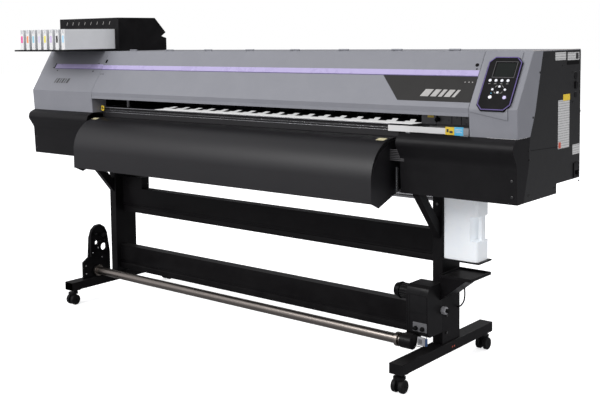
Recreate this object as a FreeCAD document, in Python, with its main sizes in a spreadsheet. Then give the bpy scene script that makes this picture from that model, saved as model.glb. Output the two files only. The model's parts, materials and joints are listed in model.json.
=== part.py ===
"""Wide-format roll printer on a castered stand, modelled as separate pieces.

X runs along the carriage, the operator stands at -Y and the floor is Z = 0.
The origin is the centre of the footprint on the floor. Sizes are millimetres.
"""
import FreeCAD, Part
import math
import os
import re
import Sketcher

V = FreeCAD.Vector

SIZES = [
    # overall
    ("body_width", 2775, "printer body, end to end"),
    ("sheet", 3, "thickness of covers and panels"),
    ("joint_gap", 1.5, "gap round a cover that opens"),
    ("seat_gap", 0.3, "gap under a piece that lifts off its seat"),
    ("running", 0.05, "radial clearance of a turning fit"),
    # heights of the body
    ("body_bottom", 745, "underside of the body"),
    ("rear_bottom", 782, "underside of the stepped rear part"),
    ("body_top", 1276, "top of the covers"),
    ("body_rear", 288, "rear face of the body"),
    # front profile of the body, shared by every cover
    ("brow_y", -117, "top front edge of the covers"),
    ("fold_y", -243, "lowest fold of the sloping front"),
    ("fold_z", 1076, "height of that fold"),
    ("chin_y", -236, "lower edge of the upright strip"),
    ("chin_z", 974, "underside of the grey end covers"),
    ("flap_bottom", 1054, "lower edge of the opening front cover"),
    ("hinge_y", -100, "hinge line of the front cover"),
    ("bay_left", -903, "left edge of the front cover"),
    ("bay_right", 1202, "right edge of the front cover"),
    ("lip_y", -268, "top edge of the lower covers"),
    ("lip_z", 960, "height of that edge"),
    ("bulge_y", -276, "most forward line of the lower covers"),
    ("bulge_z", 933, "height of that line"),
    ("waist_y", -243, "recess below the bulge"),
    ("waist_z", 883, "height of the recess"),
    ("skirt_y", -237, "lower front edge of the lower covers"),
    ("toe_y", -190, "rear end of the lower covers' foot"),
    ("panel_top_y", -42, "front edge of the side panel at the top"),
    ("panel_mid_y", -102, "front edge of the side panel half way"),
    ("panel_mid_z", 1060, "height half way"),
    ("panel_low_y", -148, "front edge of the side panel below"),
    ("panel_low_z", 927, "height of the seam in front"),
    ("seam_lean", 7, "how far the panel's edge leans back above the seam"),
    ("hinge_radius", 4, "knuckles of the front cover's hinges"),
    ("hinge_pin_radius", 1.8, "pins of those hinges"),
    ("hinge_length", 24, "each knuckle along X"),
    ("hinge_count", 8, "hinges along the front cover"),
    ("step_y", 80, "where the underside steps up"),
    ("lower_cover_left_end", -905, "inner end of the left lower cover"),
    ("lower_cover_right_end", 912, "inner end of the right lower cover"),
    ("switch_y", 242, "rocker switch on the right panel"),
    ("switch_z", 1141, "rocker switch"),
    ("switch_width", 22, "rocker switch"),
    ("switch_height", 24, "rocker switch"),
    ("inlet_y", 250, "power inlet"),
    ("inlet_z", 816, "power inlet"),
    ("inlet_width", 48, "power inlet"),
    ("inlet_height", 56, "power inlet"),
    ("fan_y", 200, "fan opening of the left panel"),
    ("fan_z", 900, "fan opening of the left panel"),
    ("fan_radius", 40, "fan opening of the left panel"),
    # stand
    ("leg_span", 1962, "distance between the two legs"),
    ("leg_centre", -34, "middle of the stand along X"),
    ("foot_length", 700, "foot beam"),
    ("foot_width", 60, "foot beam"),
    ("foot_height", 41, "foot beam"),
    ("foot_bottom", 75, "height of the casters"),
    ("foot_front", -330, "front end of the foot beam"),
    ("tube_wall", 3, "wall of the steel tubes"),
    ("column_width", 45, "column along X"),
    ("column_depth", 135, "column along Y"),
    ("column_front", -30, "front face of the columns"),
    ("rail_depth", 50, "crossbars along Y"),
    ("upper_rail_z", 434, "underside of the upper crossbar"),
    ("upper_rail_height", 128, "upper crossbar"),
    ("upper_rail_y", 20, "front face of the upper crossbar"),
    ("lower_rail_z", 134, "underside of the lower crossbar"),
    ("lower_rail_height", 124, "lower crossbar"),
    ("lower_rail_y", -5, "front face of the lower crossbar"),
    ("groove_depth", 3, "grooves pressed in the crossbars"),
    ("bolt_radius", 6, "bolt heads"),
    ("rail_bolt_rise", 64, "bolts above the underside of the upper rail"),
    ("bolt_height", 4, "bolt heads"),
    # casters
    ("caster_wheel_radius", 26, "caster wheels"),
    ("caster_wheel_width", 18, "each wheel of a pair"),
    ("caster_hub_width", 14, "web between the two wheels"),
    ("wheel_play", 0.5, "side play of the caster wheels"),
    ("caster_trail", 16, "wheel axle behind the swivel"),
    ("caster_plate", 4, "top plate of the caster"),
    ("caster_stem_radius", 9, "swivel stem"),
    ("caster_inset", 42, "swivel from the end of the foot"),
    ("axle_radius", 4, "caster axle"),
    # take-up unit
    ("roll_y", -155, "axis of the take-up tube"),
    ("roll_z", 148, "axis of the take-up tube"),
    ("roll_radius", 20, "take-up tube"),
    ("roll_wall", 2.5, "take-up tube"),
    ("journal_radius", 12, "ends of the take-up tube"),
    ("motor_width", 97.5, "motor box, inwards from the leg's outer face"),
    ("motor_bottom", 168, "motor box"),
    ("motor_top", 368, "motor box"),
    ("motor_front", -140, "motor box"),
    ("hub_radius", 29, "drive hub of the motor box"),
    ("hub_proud", 8, "drive hub in front of the motor box"),
    ("journal_length", 30, "bore of the drive hub"),
    ("gear_radius", 31, "ridged wheel"),
    ("gear_pin_radius", 6, "pin of the ridged wheel"),
    ("gear_width", 40, "ridged wheel"),
    ("gear_y", -100, "axis of the ridged wheel"),
    ("gear_z", 330, "axis of the ridged wheel"),
    ("knob_y", -31, "clamp knob on the right column"),
    ("knob_z", 257, "clamp knob on the right column"),
    ("knob_radius", 15, "clamp knob on the right column"),
    ("knob_length", 18, "clamp knob on the right column"),
    ("bracket_thickness", 12, "left bearing plate"),
    ("flange_radius", 33, "flanges on the take-up tube"),
    # waste bottle
    ("bottle_width", 149, "waste bottle along X"),
    ("bottle_depth", 95, "waste bottle along Y"),
    ("bottle_height", 238, "waste bottle"),
    ("bottle_front", -45, "front face of the waste bottle"),
    ("bottle_bottom", 470, "underside of the waste bottle"),
    ("holder_thickness", 6, "bottle shelf"),
    ("grip_width", 32, "recess along the bottle's right side"),
    ("grip_bottom", 78, "lower end of that recess"),
    ("grip_height", 96, "recess"),
    ("grip_post", 14, "post that the fingers close round"),
    ("bottle_cap_radius", 27, "cap of the bottle"),
    # drain tray
    ("tray_top", 404, "rim of the tray"),
    ("tray_rim", 9, "depth of the tray"),
    ("tray_front", -54, "front edge of the tray"),
    ("tray_depth", 162, "tray along Y"),
    ("tray_reach", 138, "tray along X, from the column"),
    ("wedge_height", 92, "bracket under the tray"),
    ("cable_radius", 3, "drain hose and sensor lead"),
    ("lead_left", 1110, "left end of the sensor lead"),
    ("lead_y", 62, "sensor lead"),
    # inside the body
    ("beam_y", 62, "front face of the carriage beam"),
    ("beam_depth", 80, "carriage beam"),
    ("beam_z", 1075, "underside of the carriage beam"),
    ("beam_height", 120, "carriage beam"),
    ("rail_size", 14, "linear rail"),
    ("belt_inset", 60, "belt pulleys from the ends of the body"),
    ("platen_z", 1000, "top of the platen"),
    ("bed_height", 60, "bed above its channel"),
    ("platen_front", -180, "front edge of the platen"),
    ("channel_front", -130, "channel under the bed"),
    ("channel_rear", 36, "channel under the bed"),
    ("platen_left", -890, "left end of the platen"),
    ("platen_right", 1000, "right end of the platen"),
    ("grit_radius", 15, "feed shaft"),
    ("pinch_radius", 9, "pinch rollers"),
    ("pinch_count", 19, "pinch rollers"),
    ("pinch_pitch", 86, "pinch rollers"),
    ("pinch_first", -595, "first pinch roller"),
    ("pinch_width", 58, "pinch arms"),
    ("feed_y", 66, "line where the rollers meet"),
    ("pivot_y", 112, "pivot of the pinch arms"),
    ("pivot_z", 1046, "pivot of the pinch arms"),
    ("pivot_radius", 5, "pivot shaft"),
    ("carriage_width", 232, "print carriage"),
    ("carriage_left", 985, "left side of the parked carriage"),
    ("carriage_front", -118, "print carriage"),
    ("carriage_bottom", 1006, "print carriage"),
    ("carriage_height", 150, "print carriage"),
    ("station_wall", -130, "front of the wall before the capping unit"),
    ("lever_x", 1012, "clamp lever"),
    ("lever_z", 1019, "clamp lever"),
    ("cap_front", -104, "capping unit"),
    ("cap_depth", 130, "capping unit"),
    ("cap_bottom", 960, "capping unit"),
    ("cap_stem_radius", 8, "lifting stems of the capping unit"),
    ("cap_stem_y", -39, "lifting stems of the capping unit"),
    # front guide under the slot
    ("apron_left", -890, "curved front guide"),
    ("apron_right", 868, "curved front guide"),
    ("apron_radius", 150, "curved front guide"),
    ("apron_centre_y", -220, "centre of the bend"),
    ("apron_centre_z", 800, "centre of the bend"),
    ("apron_bottom", 714, "lower edge of the guide"),
    # control panel
    ("slope_angle", 57.8, "tilt of the control panel from upright, about X"),
    ("console_left", 1232, "control panel"),
    ("console_width", 130, "control panel"),
    ("console_length", 214, "control panel, up the slope"),
    ("console_depth", 8, "control panel"),
    ("console_drop", 10, "lower edge of the panel below the fold"),
    ("key_radius", 5.5, "round keys"),
    ("key_gap", 0.5, "gap round the keys"),
    ("key_proud", 1.8, "keys above the panel"),
    # ink unit
    ("ink_right", -905, "right side of the ink unit"),
    ("ink_front", -55, "front of the ink unit"),
    ("ink_top", 1446, "top of the ink unit"),
    ("ink_rear", 275, "rear of the ink unit"),
    ("bay_floor", 1288, "shelf under the cartridges"),
    ("cartridge_width", 27, "ink cartridge"),
    ("cartridge_height", 100, "ink cartridge"),
    ("cartridge_pitch", 48.3, "ink cartridge"),
    ("cartridge_front", -368, "front of the cartridges"),
    ("cartridge_left", -1301, "left side of the first cartridge"),
    ("cartridge_inside", 60, "length of a cartridge inside the unit"),
    # roll holder at the rear
    ("supply_y", 305, "axis of the supply shaft"),
    ("supply_z", 640, "axis of the supply shaft"),
    ("supply_radius", 20, "supply shaft"),
    ("supply_flange", 62, "flange on the supply shaft"),
]

doc = FreeCAD.newDocument("RollPrinter")
dim = doc.addObject("Spreadsheet::Sheet", "dim")
ALIASES = {alias for alias, value, note in SIZES}
parts = []


def fill_sheet():
    """Write one row per size: its name, its value and what it measures."""
    for row, (alias, value, note) in enumerate(SIZES, start=1):
        dim.set("A%d" % row, alias)
        dim.set("B%d" % row, str(value))
        dim.setAlias("B%d" % row, alias)
        dim.set("C%d" % row, note)
    doc.recompute()


def formula(text):
    """Point each size name in the text at its cell of the sheet."""
    def cell(match):
        word = match.group(0)
        return "dim." + word if word in ALIASES else word
    return re.sub(r"[a-z][a-z_]*", cell, str(text))


def number(text):
    """The present value of a formula."""
    value = dim.evalExpression(formula(text))
    return float(getattr(value, "Value", value))


def bind(item, prop, text):
    item.setExpression(prop, formula(text))


def place(item, x, y, z):
    bind(item, "Placement.Base.x", x)
    bind(item, "Placement.Base.y", y)
    bind(item, "Placement.Base.z", z)
    return item


def box(label, x, y, z, length, depth, height):
    """A block with its lower left front corner at x, y, z."""
    item = doc.addObject("Part::Box", label)
    item.Label = label
    bind(item, "Length", length)
    bind(item, "Width", depth)
    bind(item, "Height", height)
    return place(item, x, y, z)


AXES = {"X": FreeCAD.Rotation(V(0, 1, 0), 90),
        "Y": FreeCAD.Rotation(V(1, 0, 0), -90),
        "Z": FreeCAD.Rotation()}


def rod(label, axis, x, y, z, radius, length):
    """A cylinder that starts at x, y, z and runs along the axis."""
    item = doc.addObject("Part::Cylinder", label)
    item.Label = label
    bind(item, "Radius", radius)
    bind(item, "Height", length)
    item.Placement = FreeCAD.Placement(V(), AXES[axis])
    return place(item, x, y, z)


def fuse(label, pieces):
    item = doc.addObject("Part::MultiFuse", label)
    item.Label = label
    item.Shapes = pieces
    return item


def collect(label, pieces):
    """Keep separate pieces of one body together in one node."""
    item = doc.addObject("Part::Compound", label)
    item.Label = label
    item.Links = pieces
    return item


def cut(label, base, tool):
    item = doc.addObject("Part::Cut", label)
    item.Label = label
    item.Base = base
    item.Tool = tool
    return item


def origin_plane(body, role):
    return [f for f in body.Origin.OriginFeatures if f.Role == role][0]


def outline(body, label, role, points, holes=(), offset="0"):
    """A sketch of a closed outline, with round holes, bound to the sheet."""
    sketch = body.newObject("Sketcher::SketchObject", label)
    sketch.AttachmentSupport = [(origin_plane(body, role), "")]
    sketch.MapMode = "FlatFace"
    bind(sketch, "AttachmentOffset.Base.z", offset)
    values = [(number(u), number(v)) for u, v in points]
    count = len(values)
    for i in range(count):
        first = V(*values[i], 0)
        second = V(*values[(i + 1) % count], 0)
        sketch.addGeometry(Part.LineSegment(first, second), False)
    for i in range(count):
        joint = Sketcher.Constraint("Coincident", i, 2, (i + 1) % count, 1)
        sketch.addConstraint(joint)
    for i, (u, v) in enumerate(points):
        fix_point(sketch, i, 1, u, v)
    for u, v, radius in holes:
        centre = V(number(u), number(v), 0)
        circle = Part.Circle(centre, V(0, 0, 1), number(radius))
        i = sketch.addGeometry(circle, False)
        fix_point(sketch, i, 3, u, v)
        size = Sketcher.Constraint("Radius", i, number(radius))
        bind(sketch, "Constraints[%d]" % sketch.addConstraint(size), radius)
    return sketch


def fix_point(sketch, edge, end, u, v):
    """Hold one point of a sketch at two bound distances from its origin."""
    hold(sketch, "DistanceX", edge, end, u)
    hold(sketch, "DistanceY", edge, end, v)


def hold(sketch, kind, edge, end, text):
    """Bind one distance from the sketch's origin to a point of an edge."""
    rule = Sketcher.Constraint(kind, -1, 1, edge, end, number(text))
    bind(sketch, "Constraints[%d]" % sketch.addConstraint(rule), text)


def pad(body, label, sketch, length):
    item = body.newObject("PartDesign::Pad", label)
    item.Profile = sketch
    bind(item, "Length", length)
    return item


def prism(label, start, length, points, holes=()):
    """A body whose outline in Y and Z runs along X from start."""
    body = doc.addObject("PartDesign::Body", label)
    body.Label = label
    sketch = outline(body, label + "_outline", "YZ_Plane", points, holes)
    pad(body, label + "_pad", sketch, length)
    bind(body, "Placement.Base.x", start)
    return body


def keep(item):
    """Mark a finished sub-part; its Label is its node and file name."""
    parts.append(item)
    return item


def tube_box(label, axis, x, y, z, length, depth, height):
    """A hollow rectangular tube, open at both ends along the axis."""
    lead = {"X": (1, 0, 0), "Y": (0, 1, 0), "Z": (0, 0, 1)}[axis]
    place_in = [text if along else "(%s) + tube_wall" % text
                for text, along in zip((x, y, z), lead)]
    size_in = [text if along else "(%s) - 2 * tube_wall" % text
               for text, along in zip((length, depth, height), lead)]
    outer = box(label + "_outer", x, y, z, length, depth, height)
    inner = box(label + "_inner", *place_in, *size_in)
    return cut(label, outer, inner)


LEG_X = {"left": "leg_centre - leg_span / 2",
         "right": "leg_centre + leg_span / 2"}
COLUMN_INNER = "leg_span - column_width"
RAIL_START = "leg_centre - leg_span / 2 + column_width / 2"
FOOT_TOP = "foot_bottom + foot_height"
FOOT_REAR = "foot_front + foot_length"
COLUMN_OUTER = "leg_centre + leg_span / 2 + column_width / 2"


def stand():
    feet = []
    columns = []
    for side, x in LEG_X.items():
        feet.append(tube_box("foot_" + side, "Y", "%s - foot_width / 2" % x,
                             "foot_front", "foot_bottom",
                             "foot_width", "foot_length", "foot_height"))
        columns.append(tube_box("column_" + side, "Z",
                                "%s - column_width / 2" % x,
                                "column_front", FOOT_TOP,
                                "column_width", "column_depth",
                                "body_bottom - foot_bottom - foot_height"))
    keep(collect("foot_beams", feet))
    keep(collect("columns", columns))
    keep(collect("crossbars", [crossbar("upper"), crossbar("lower")]))


def crossbar(name):
    """A sheet tube between the columns, with a groove pressed in front."""
    front = name + "_rail_y"
    low = name + "_rail_z"
    high = "%s + %s_rail_height" % (low, name)
    tall = "%s_rail_height" % name
    deep = front + " + groove_depth"
    points = [(front, low), (front + " + rail_depth", low),
              (front + " + rail_depth", high), (front, high),
              (front, "%s + %s * 0.30" % (low, tall)),
              (deep, "%s + %s * 0.28" % (low, tall)),
              (deep, "%s + %s * 0.22" % (low, tall)),
              (front, "%s + %s * 0.20" % (low, tall))]
    solid = prism("crossbar_solid_" + name, RAIL_START, COLUMN_INNER, points)
    hollow = box("crossbar_hollow_" + name, RAIL_START + " - 1",
                 deep + " + tube_wall", low + " + tube_wall",
                 COLUMN_INNER + " + 2",
                 "rail_depth - groove_depth - 2 * tube_wall",
                 tall + " - 2 * tube_wall")
    return cut("crossbar_" + name, solid, hollow)


def stand_bolts():
    """Button heads on the columns, clear of the crossbars' ends."""
    top = [("column_front + 22", "body_bottom - 60"),
           ("column_front + 100", "body_bottom - 60")]
    below = [("column_front + 22", "upper_rail_z + rail_bolt_rise"),
             ("column_front + 100", "upper_rail_z + rail_bolt_rise"),
             ("column_front + 30", "lower_rail_z + 25"),
             ("column_front + 30", "lower_rail_z + 95")]
    inner_left = LEG_X["left"] + " + column_width / 2"
    spots = [(inner_left, y, z) for y, z in top]
    spots += [(COLUMN_OUTER, y, z) for y, z in top + below]
    heads = [rod("bolt_side_%d" % i, "X", x, y, z, "bolt_radius",
                 "bolt_height") for i, (x, y, z) in enumerate(spots)]
    for side in LEG_X:
        for drop in (25, 68):
            heads.append(rod("bolt_front_%s_%d" % (side, drop), "Y",
                             LEG_X[side], "column_front - bolt_height",
                             "body_bottom - %d" % drop, "bolt_radius",
                             "bolt_height"))
    keep(collect("stand_bolts", heads))


CASTERS = {"fl": ("left", "foot_front + caster_inset", -1),
           "fr": ("right", "foot_front + caster_inset", -1),
           "rl": ("left", FOOT_REAR + " - caster_inset", 1),
           "rr": ("right", FOOT_REAR + " - caster_inset", 1)}


def casters():
    for code, (side, y, way) in CASTERS.items():
        x = LEG_X[side]
        axle_y = "%s + %d * caster_trail" % (y, way)
        plate = rod("caster_plate_" + code, "Z", x, y,
                    "foot_bottom - caster_plate", "foot_width / 2 - 4",
                    "caster_plate")
        stem = rod("caster_stem_" + code, "Z", x, y,
                   "2 * caster_wheel_radius + 2", "caster_stem_radius",
                   "foot_bottom - caster_plate - 2 * caster_wheel_radius - 2")
        crown = rod("caster_crown_" + code, "Z", x, axle_y,
                    "2 * caster_wheel_radius + 2", "foot_width / 2 - 6",
                    "8")
        web = box("caster_web_" + code, "%s - caster_hub_width / 2" % x,
                  "%s - 12" % axle_y, "caster_wheel_radius - 9",
                  "caster_hub_width", 24, "caster_wheel_radius + 12")
        axle = rod("caster_axle_" + code, "X",
                   "%s - caster_hub_width / 2 - caster_wheel_width" % x,
                   axle_y, "caster_wheel_radius", "axle_radius",
                   "caster_hub_width + 2 * caster_wheel_width")
        keep(fuse("caster_fork_" + code, [plate, stem, crown, web, axle]))
        keep(caster_wheels(code, x, axle_y))


def caster_wheels(code, x, axle_y):
    """The pair of wheels on one axle, bored for it."""
    wheels = []
    starts = {"a": "%s - caster_hub_width / 2 - caster_wheel_width" % x,
              "b": "%s + caster_hub_width / 2 + wheel_play" % x}
    for name, start in starts.items():
        tag = "caster_%s_%s" % (name, code)
        rim = rod(tag + "_rim", "X", start, axle_y, "caster_wheel_radius",
                  "caster_wheel_radius", "caster_wheel_width - wheel_play")
        bore = rod(tag + "_bore", "X", start, axle_y, "caster_wheel_radius",
                   "axle_radius + running", "caster_wheel_width")
        wheels.append(cut(tag, rim, bore))
    return collect("caster_wheels_" + code, wheels)


def stand_brackets():
    """Knee braces, rail blocks, bottle shelf, drain tray and rear arms."""
    pieces = []
    for side, x in LEG_X.items():
        brace = prism("knee_brace_" + side, "%s - 13" % x, 26,
                      [("column_front", "body_bottom - 205"),
                       ("column_front", "body_bottom - 145"),
                       ("column_front - 120", "body_bottom"),
                       ("column_front - 160", "body_bottom"),
                       ("column_front - 160", "body_bottom - 14")])
        pieces.append(brace)
        arm = box("rear_arm_" + side, "%s - 20" % x,
                  "column_front + column_depth", "supply_z - 30",
                  40, "supply_y + 34 - column_front - column_depth", 60)
        seat = rod("rear_seat_" + side, "X", "%s - 21" % x, "supply_y",
                   "supply_z", "journal_radius + running", 42)
        pieces.append(cut("rear_holder_" + side, arm, seat))
    block = box("rail_block", RAIL_START, "upper_rail_y",
                "upper_rail_z + upper_rail_height",
                150, "rail_depth", 58)
    pieces.append(block)
    shelf = box("bottle_shelf", COLUMN_OUTER, "bottle_front - 4",
                "bottle_bottom - seat_gap - holder_thickness",
                "bottle_width + 20", "bottle_depth + 8", "holder_thickness")
    pieces.append(shelf)
    pieces.append(drain_tray())
    keep(collect("stand_brackets", pieces))


def drain_tray():
    """A shallow pan on a wedge-shaped bracket of the right column."""
    base = "tray_top - tray_rim - sheet"
    pan = box("tray_pan", COLUMN_OUTER, "tray_front", base,
              "tray_reach", "tray_depth", "tray_rim + sheet")
    hollow = box("tray_hollow", COLUMN_OUTER + " + sheet",
                 "tray_front + sheet", "tray_top - tray_rim",
                 "tray_reach - 2 * sheet", "tray_depth - 2 * sheet",
                 "tray_rim + 1")
    wedge = doc.addObject("PartDesign::Body", "tray_wedge")
    face = outline(wedge, "wedge_outline", "XZ_Plane",
                   [(COLUMN_OUTER, base + " - wedge_height"),
                    (COLUMN_OUTER + " + tray_reach - 24", base),
                    (COLUMN_OUTER, base)])
    pad(wedge, "wedge_pad", face, "tray_depth - 2 * sheet")
    bind(wedge, "Placement.Base.y", "tray_front + tray_depth - sheet")
    return fuse("drain_tray", [cut("tray_hollowed", pan, hollow), wedge])


def cable(label, points, radius):
    """A cable along straight runs that are joined by tangent arcs."""
    route = [V(*[number(c) for c in point]) for point in points]
    edges = []
    at = route[0]
    for before, corner, after in zip(route, route[1:], route[2:]):
        inward = (before - corner).normalize()
        onward = (after - corner).normalize()
        turn = 3.14159265 - inward.getAngle(onward)
        shorter = min((before - corner).Length, (after - corner).Length)
        reach = 0.45 * shorter
        bend = reach / math.tan(turn / 2)
        first = corner + inward * reach
        last = corner + onward * reach
        middle = (inward + onward).normalize()
        centre = corner + middle * (bend / math.cos(turn / 2))
        summit = centre - middle * bend
        print(label, "radius %.1f" % bend)
        edges.append(Part.LineSegment(at, first).toShape())
        edges.append(Part.Arc(first, summit, last).toShape())
        at = last
    edges.append(Part.LineSegment(at, route[-1]).toShape())
    path = Part.Wire(edges)
    start = Part.Circle(route[0], route[1] - route[0], number(radius))
    profile = Part.Wire([start.toShape()])
    item = doc.addObject("Part::Feature", label)
    item.Label = label
    item.Shape = path.makePipeShell([profile], True, False)
    area = 3.14159265 * number(radius) ** 2
    print(label, "volume over section times length: %.3f"
          % (item.Shape.Volume / (area * path.Length)))
    return item


def cables():
    """The drain hose under the tray and the lead under the body."""
    hose_y = "column_front + column_depth - 19"
    under = "tray_top - tray_rim - sheet - wedge_height * 0.71 + 2"
    hose = cable("drain_hose",
                 [(COLUMN_OUTER + " + 32", hose_y, under),
                  (COLUMN_OUTER + " + 34", hose_y, "tray_top - 105"),
                  (COLUMN_OUTER + " + 30", hose_y, "tray_top - 134"),
                  (COLUMN_OUTER + " + 14", hose_y, "tray_top - 155"),
                  (COLUMN_OUTER, hose_y, "tray_top - 160")],
                 "cable_radius")
    lead = cable("sensor_lead",
                 [("lead_left", "lead_y", "body_bottom"),
                  ("lead_left + 12", "lead_y", "body_bottom - 26"),
                  ("lead_left + 50", "lead_y", "body_bottom - 50"),
                  ("lead_left + 100", "lead_y", "body_bottom - 56"),
                  ("lead_left + 150", "lead_y", "body_bottom - 44"),
                  ("lead_left + 192", "lead_y", "body_bottom - 22"),
                  ("lead_left + 206", "lead_y", "body_bottom")],
                 "cable_radius")
    keep(collect("cables", [hose, lead]))


def take_up():
    """Motor box, tube, gear wheel, left bearing plate and clamp knob."""
    nose = "motor_front"
    left = MOTOR_LEFT
    profile = [("column_front", "motor_bottom"),
               (nose + " + 16", "motor_bottom"),
               (nose, "motor_bottom + 16"),
               (nose, "motor_top - 26"),
               (nose + " + 8", "motor_top - 8"),
               (nose + " + 26", "motor_top"),
               ("column_front", "motor_top")]
    case = prism("motor_case", left, "motor_width", profile)
    hub = rod("motor_hub", "X", left + " - hub_proud", "roll_y", "roll_z",
              "hub_radius", 50)
    strut = box("motor_strut", left, "roll_y", "roll_z",
                40, 60, "motor_bottom - roll_z + 10")
    socket = rod("motor_socket", "X", left + " - hub_proud - 1", "roll_y",
                 "roll_z", "journal_radius + running", "journal_length + 1")
    pin = rod("gear_pin", "X", left + " - gear_width", "gear_y",
              "gear_z", "gear_pin_radius", "gear_width + 1")
    solid = fuse("motor_solid", [case, hub, strut, pin])
    keep(cut("takeup_motor_box", solid, socket))
    gear_wheel()
    take_up_tube()
    bearing_plate()
    keep(rod("clamp_knob", "X", COLUMN_OUTER + " + seat_gap", "knob_y",
             "knob_z", "knob_radius", "knob_length"))


def gear_wheel():
    """A wheel with a ring of ridges, on the pin of the motor box."""
    start = MOTOR_LEFT + " - gear_width - 0.5"
    rim = rod("gear_rim", "X", start, "gear_y", "gear_z",
              "gear_radius - 3", "gear_width")
    ridges = []
    for i in range(20):
        angle = 18 * i
        y = "gear_y + (gear_radius - 3) * cos(%d deg)" % angle
        z = "gear_z + (gear_radius - 3) * sin(%d deg)" % angle
        ridges.append(rod("gear_ridge_%d" % i, "X", start, y, z, 3,
                          "gear_width"))
    bore = rod("gear_bore", "X", start + " - 1", "gear_y", "gear_z",
               "gear_pin_radius + running", "gear_width + 2")
    solid = fuse("gear_solid", [rim] + ridges)
    keep(cut("takeup_gear", solid, bore))


MOTOR_LEFT = "(%s - motor_width)" % COLUMN_OUTER
PLATE_X = "leg_centre - leg_span / 2 - bracket_thickness / 2"


def take_up_tube():
    """A hollow tube with plugs, journals and two flanges."""
    left = PLATE_X + " + bracket_thickness + 2"
    right = MOTOR_LEFT + " - hub_proud - 2"
    skin = rod("tube_skin", "X", left, "roll_y", "roll_z", "roll_radius",
               "(%s) - (%s)" % (right, left))
    bore = rod("tube_bore", "X", left + " + 20", "roll_y", "roll_z",
               "roll_radius - roll_wall", "(%s) - (%s) - 40" % (right, left))
    hollow = cut("tube_hollow", skin, bore)
    journal_left = rod("tube_journal_left", "X", PLATE_X + " + 1", "roll_y",
                       "roll_z", "journal_radius",
                       "(%s) - (%s) + 5" % (left, PLATE_X))
    journal_right = rod("tube_journal_right", "X", right + " - 5", "roll_y",
                        "roll_z", "journal_radius", "journal_length + 2")
    core = fuse("tube_core", [hollow, journal_left, journal_right])
    flanges = []
    for name, x in (("left", left + " + 6"), ("right", right + " - 24")):
        disc = rod("flange_disc_" + name, "X", x, "roll_y", "roll_z",
                   "flange_radius - 5", 14)
        hole = rod("flange_hole_" + name, "X", x + " - 1", "roll_y",
                   "roll_z", "roll_radius", 16)
        flanges.append(cut("flange_" + name, disc, hole))
    keep(collect("takeup_tube", [core] + flanges))


def bearing_plate():
    """The plate on the left foot that carries the tube's end."""
    points = [(-239, FOOT_TOP), (-64, FOOT_TOP), (-64, 230), (-80, 335),
              (-96, 366), (-124, 383), (-156, 381), (-182, 360),
              (-196, 322), (-204, 222), (-239, 200)]
    holes = [("roll_y", "roll_z", "journal_radius + running"),
             (-150, 290, 11), (-104, 262, 19)]
    plate = prism("takeup_bracket", PLATE_X, "bracket_thickness",
                  points, holes)
    keep(plate)


def waste_bottle():
    """A bottle with a grip post in a recess on its right, and a cap."""
    x = COLUMN_OUTER + " + 10"
    right = x + " + bottle_width"
    grip_z = "bottle_bottom + grip_bottom"
    shell = box("bottle_shell", x, "bottle_front", "bottle_bottom",
                "bottle_width", "bottle_depth", "bottle_height")
    recess = box("bottle_recess", right + " - grip_width",
                 "bottle_front - 1", grip_z, "grip_width + 1",
                 "bottle_depth + 2", "grip_height")
    post = box("bottle_post", right + " - grip_post - 2",
               "bottle_front + bottle_depth * 0.42", grip_z + " - 1",
               "grip_post", "bottle_depth * 0.32", "grip_height + 2")
    cap = rod("bottle_cap", "Z", x + " + 2 * bottle_cap_radius",
              "bottle_front + bottle_depth / 2",
              "bottle_bottom + bottle_height - 1", "bottle_cap_radius", 22)
    keep(fuse("waste_bottle", [cut("bottle_cut", shell, recess), post, cap]))


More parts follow.
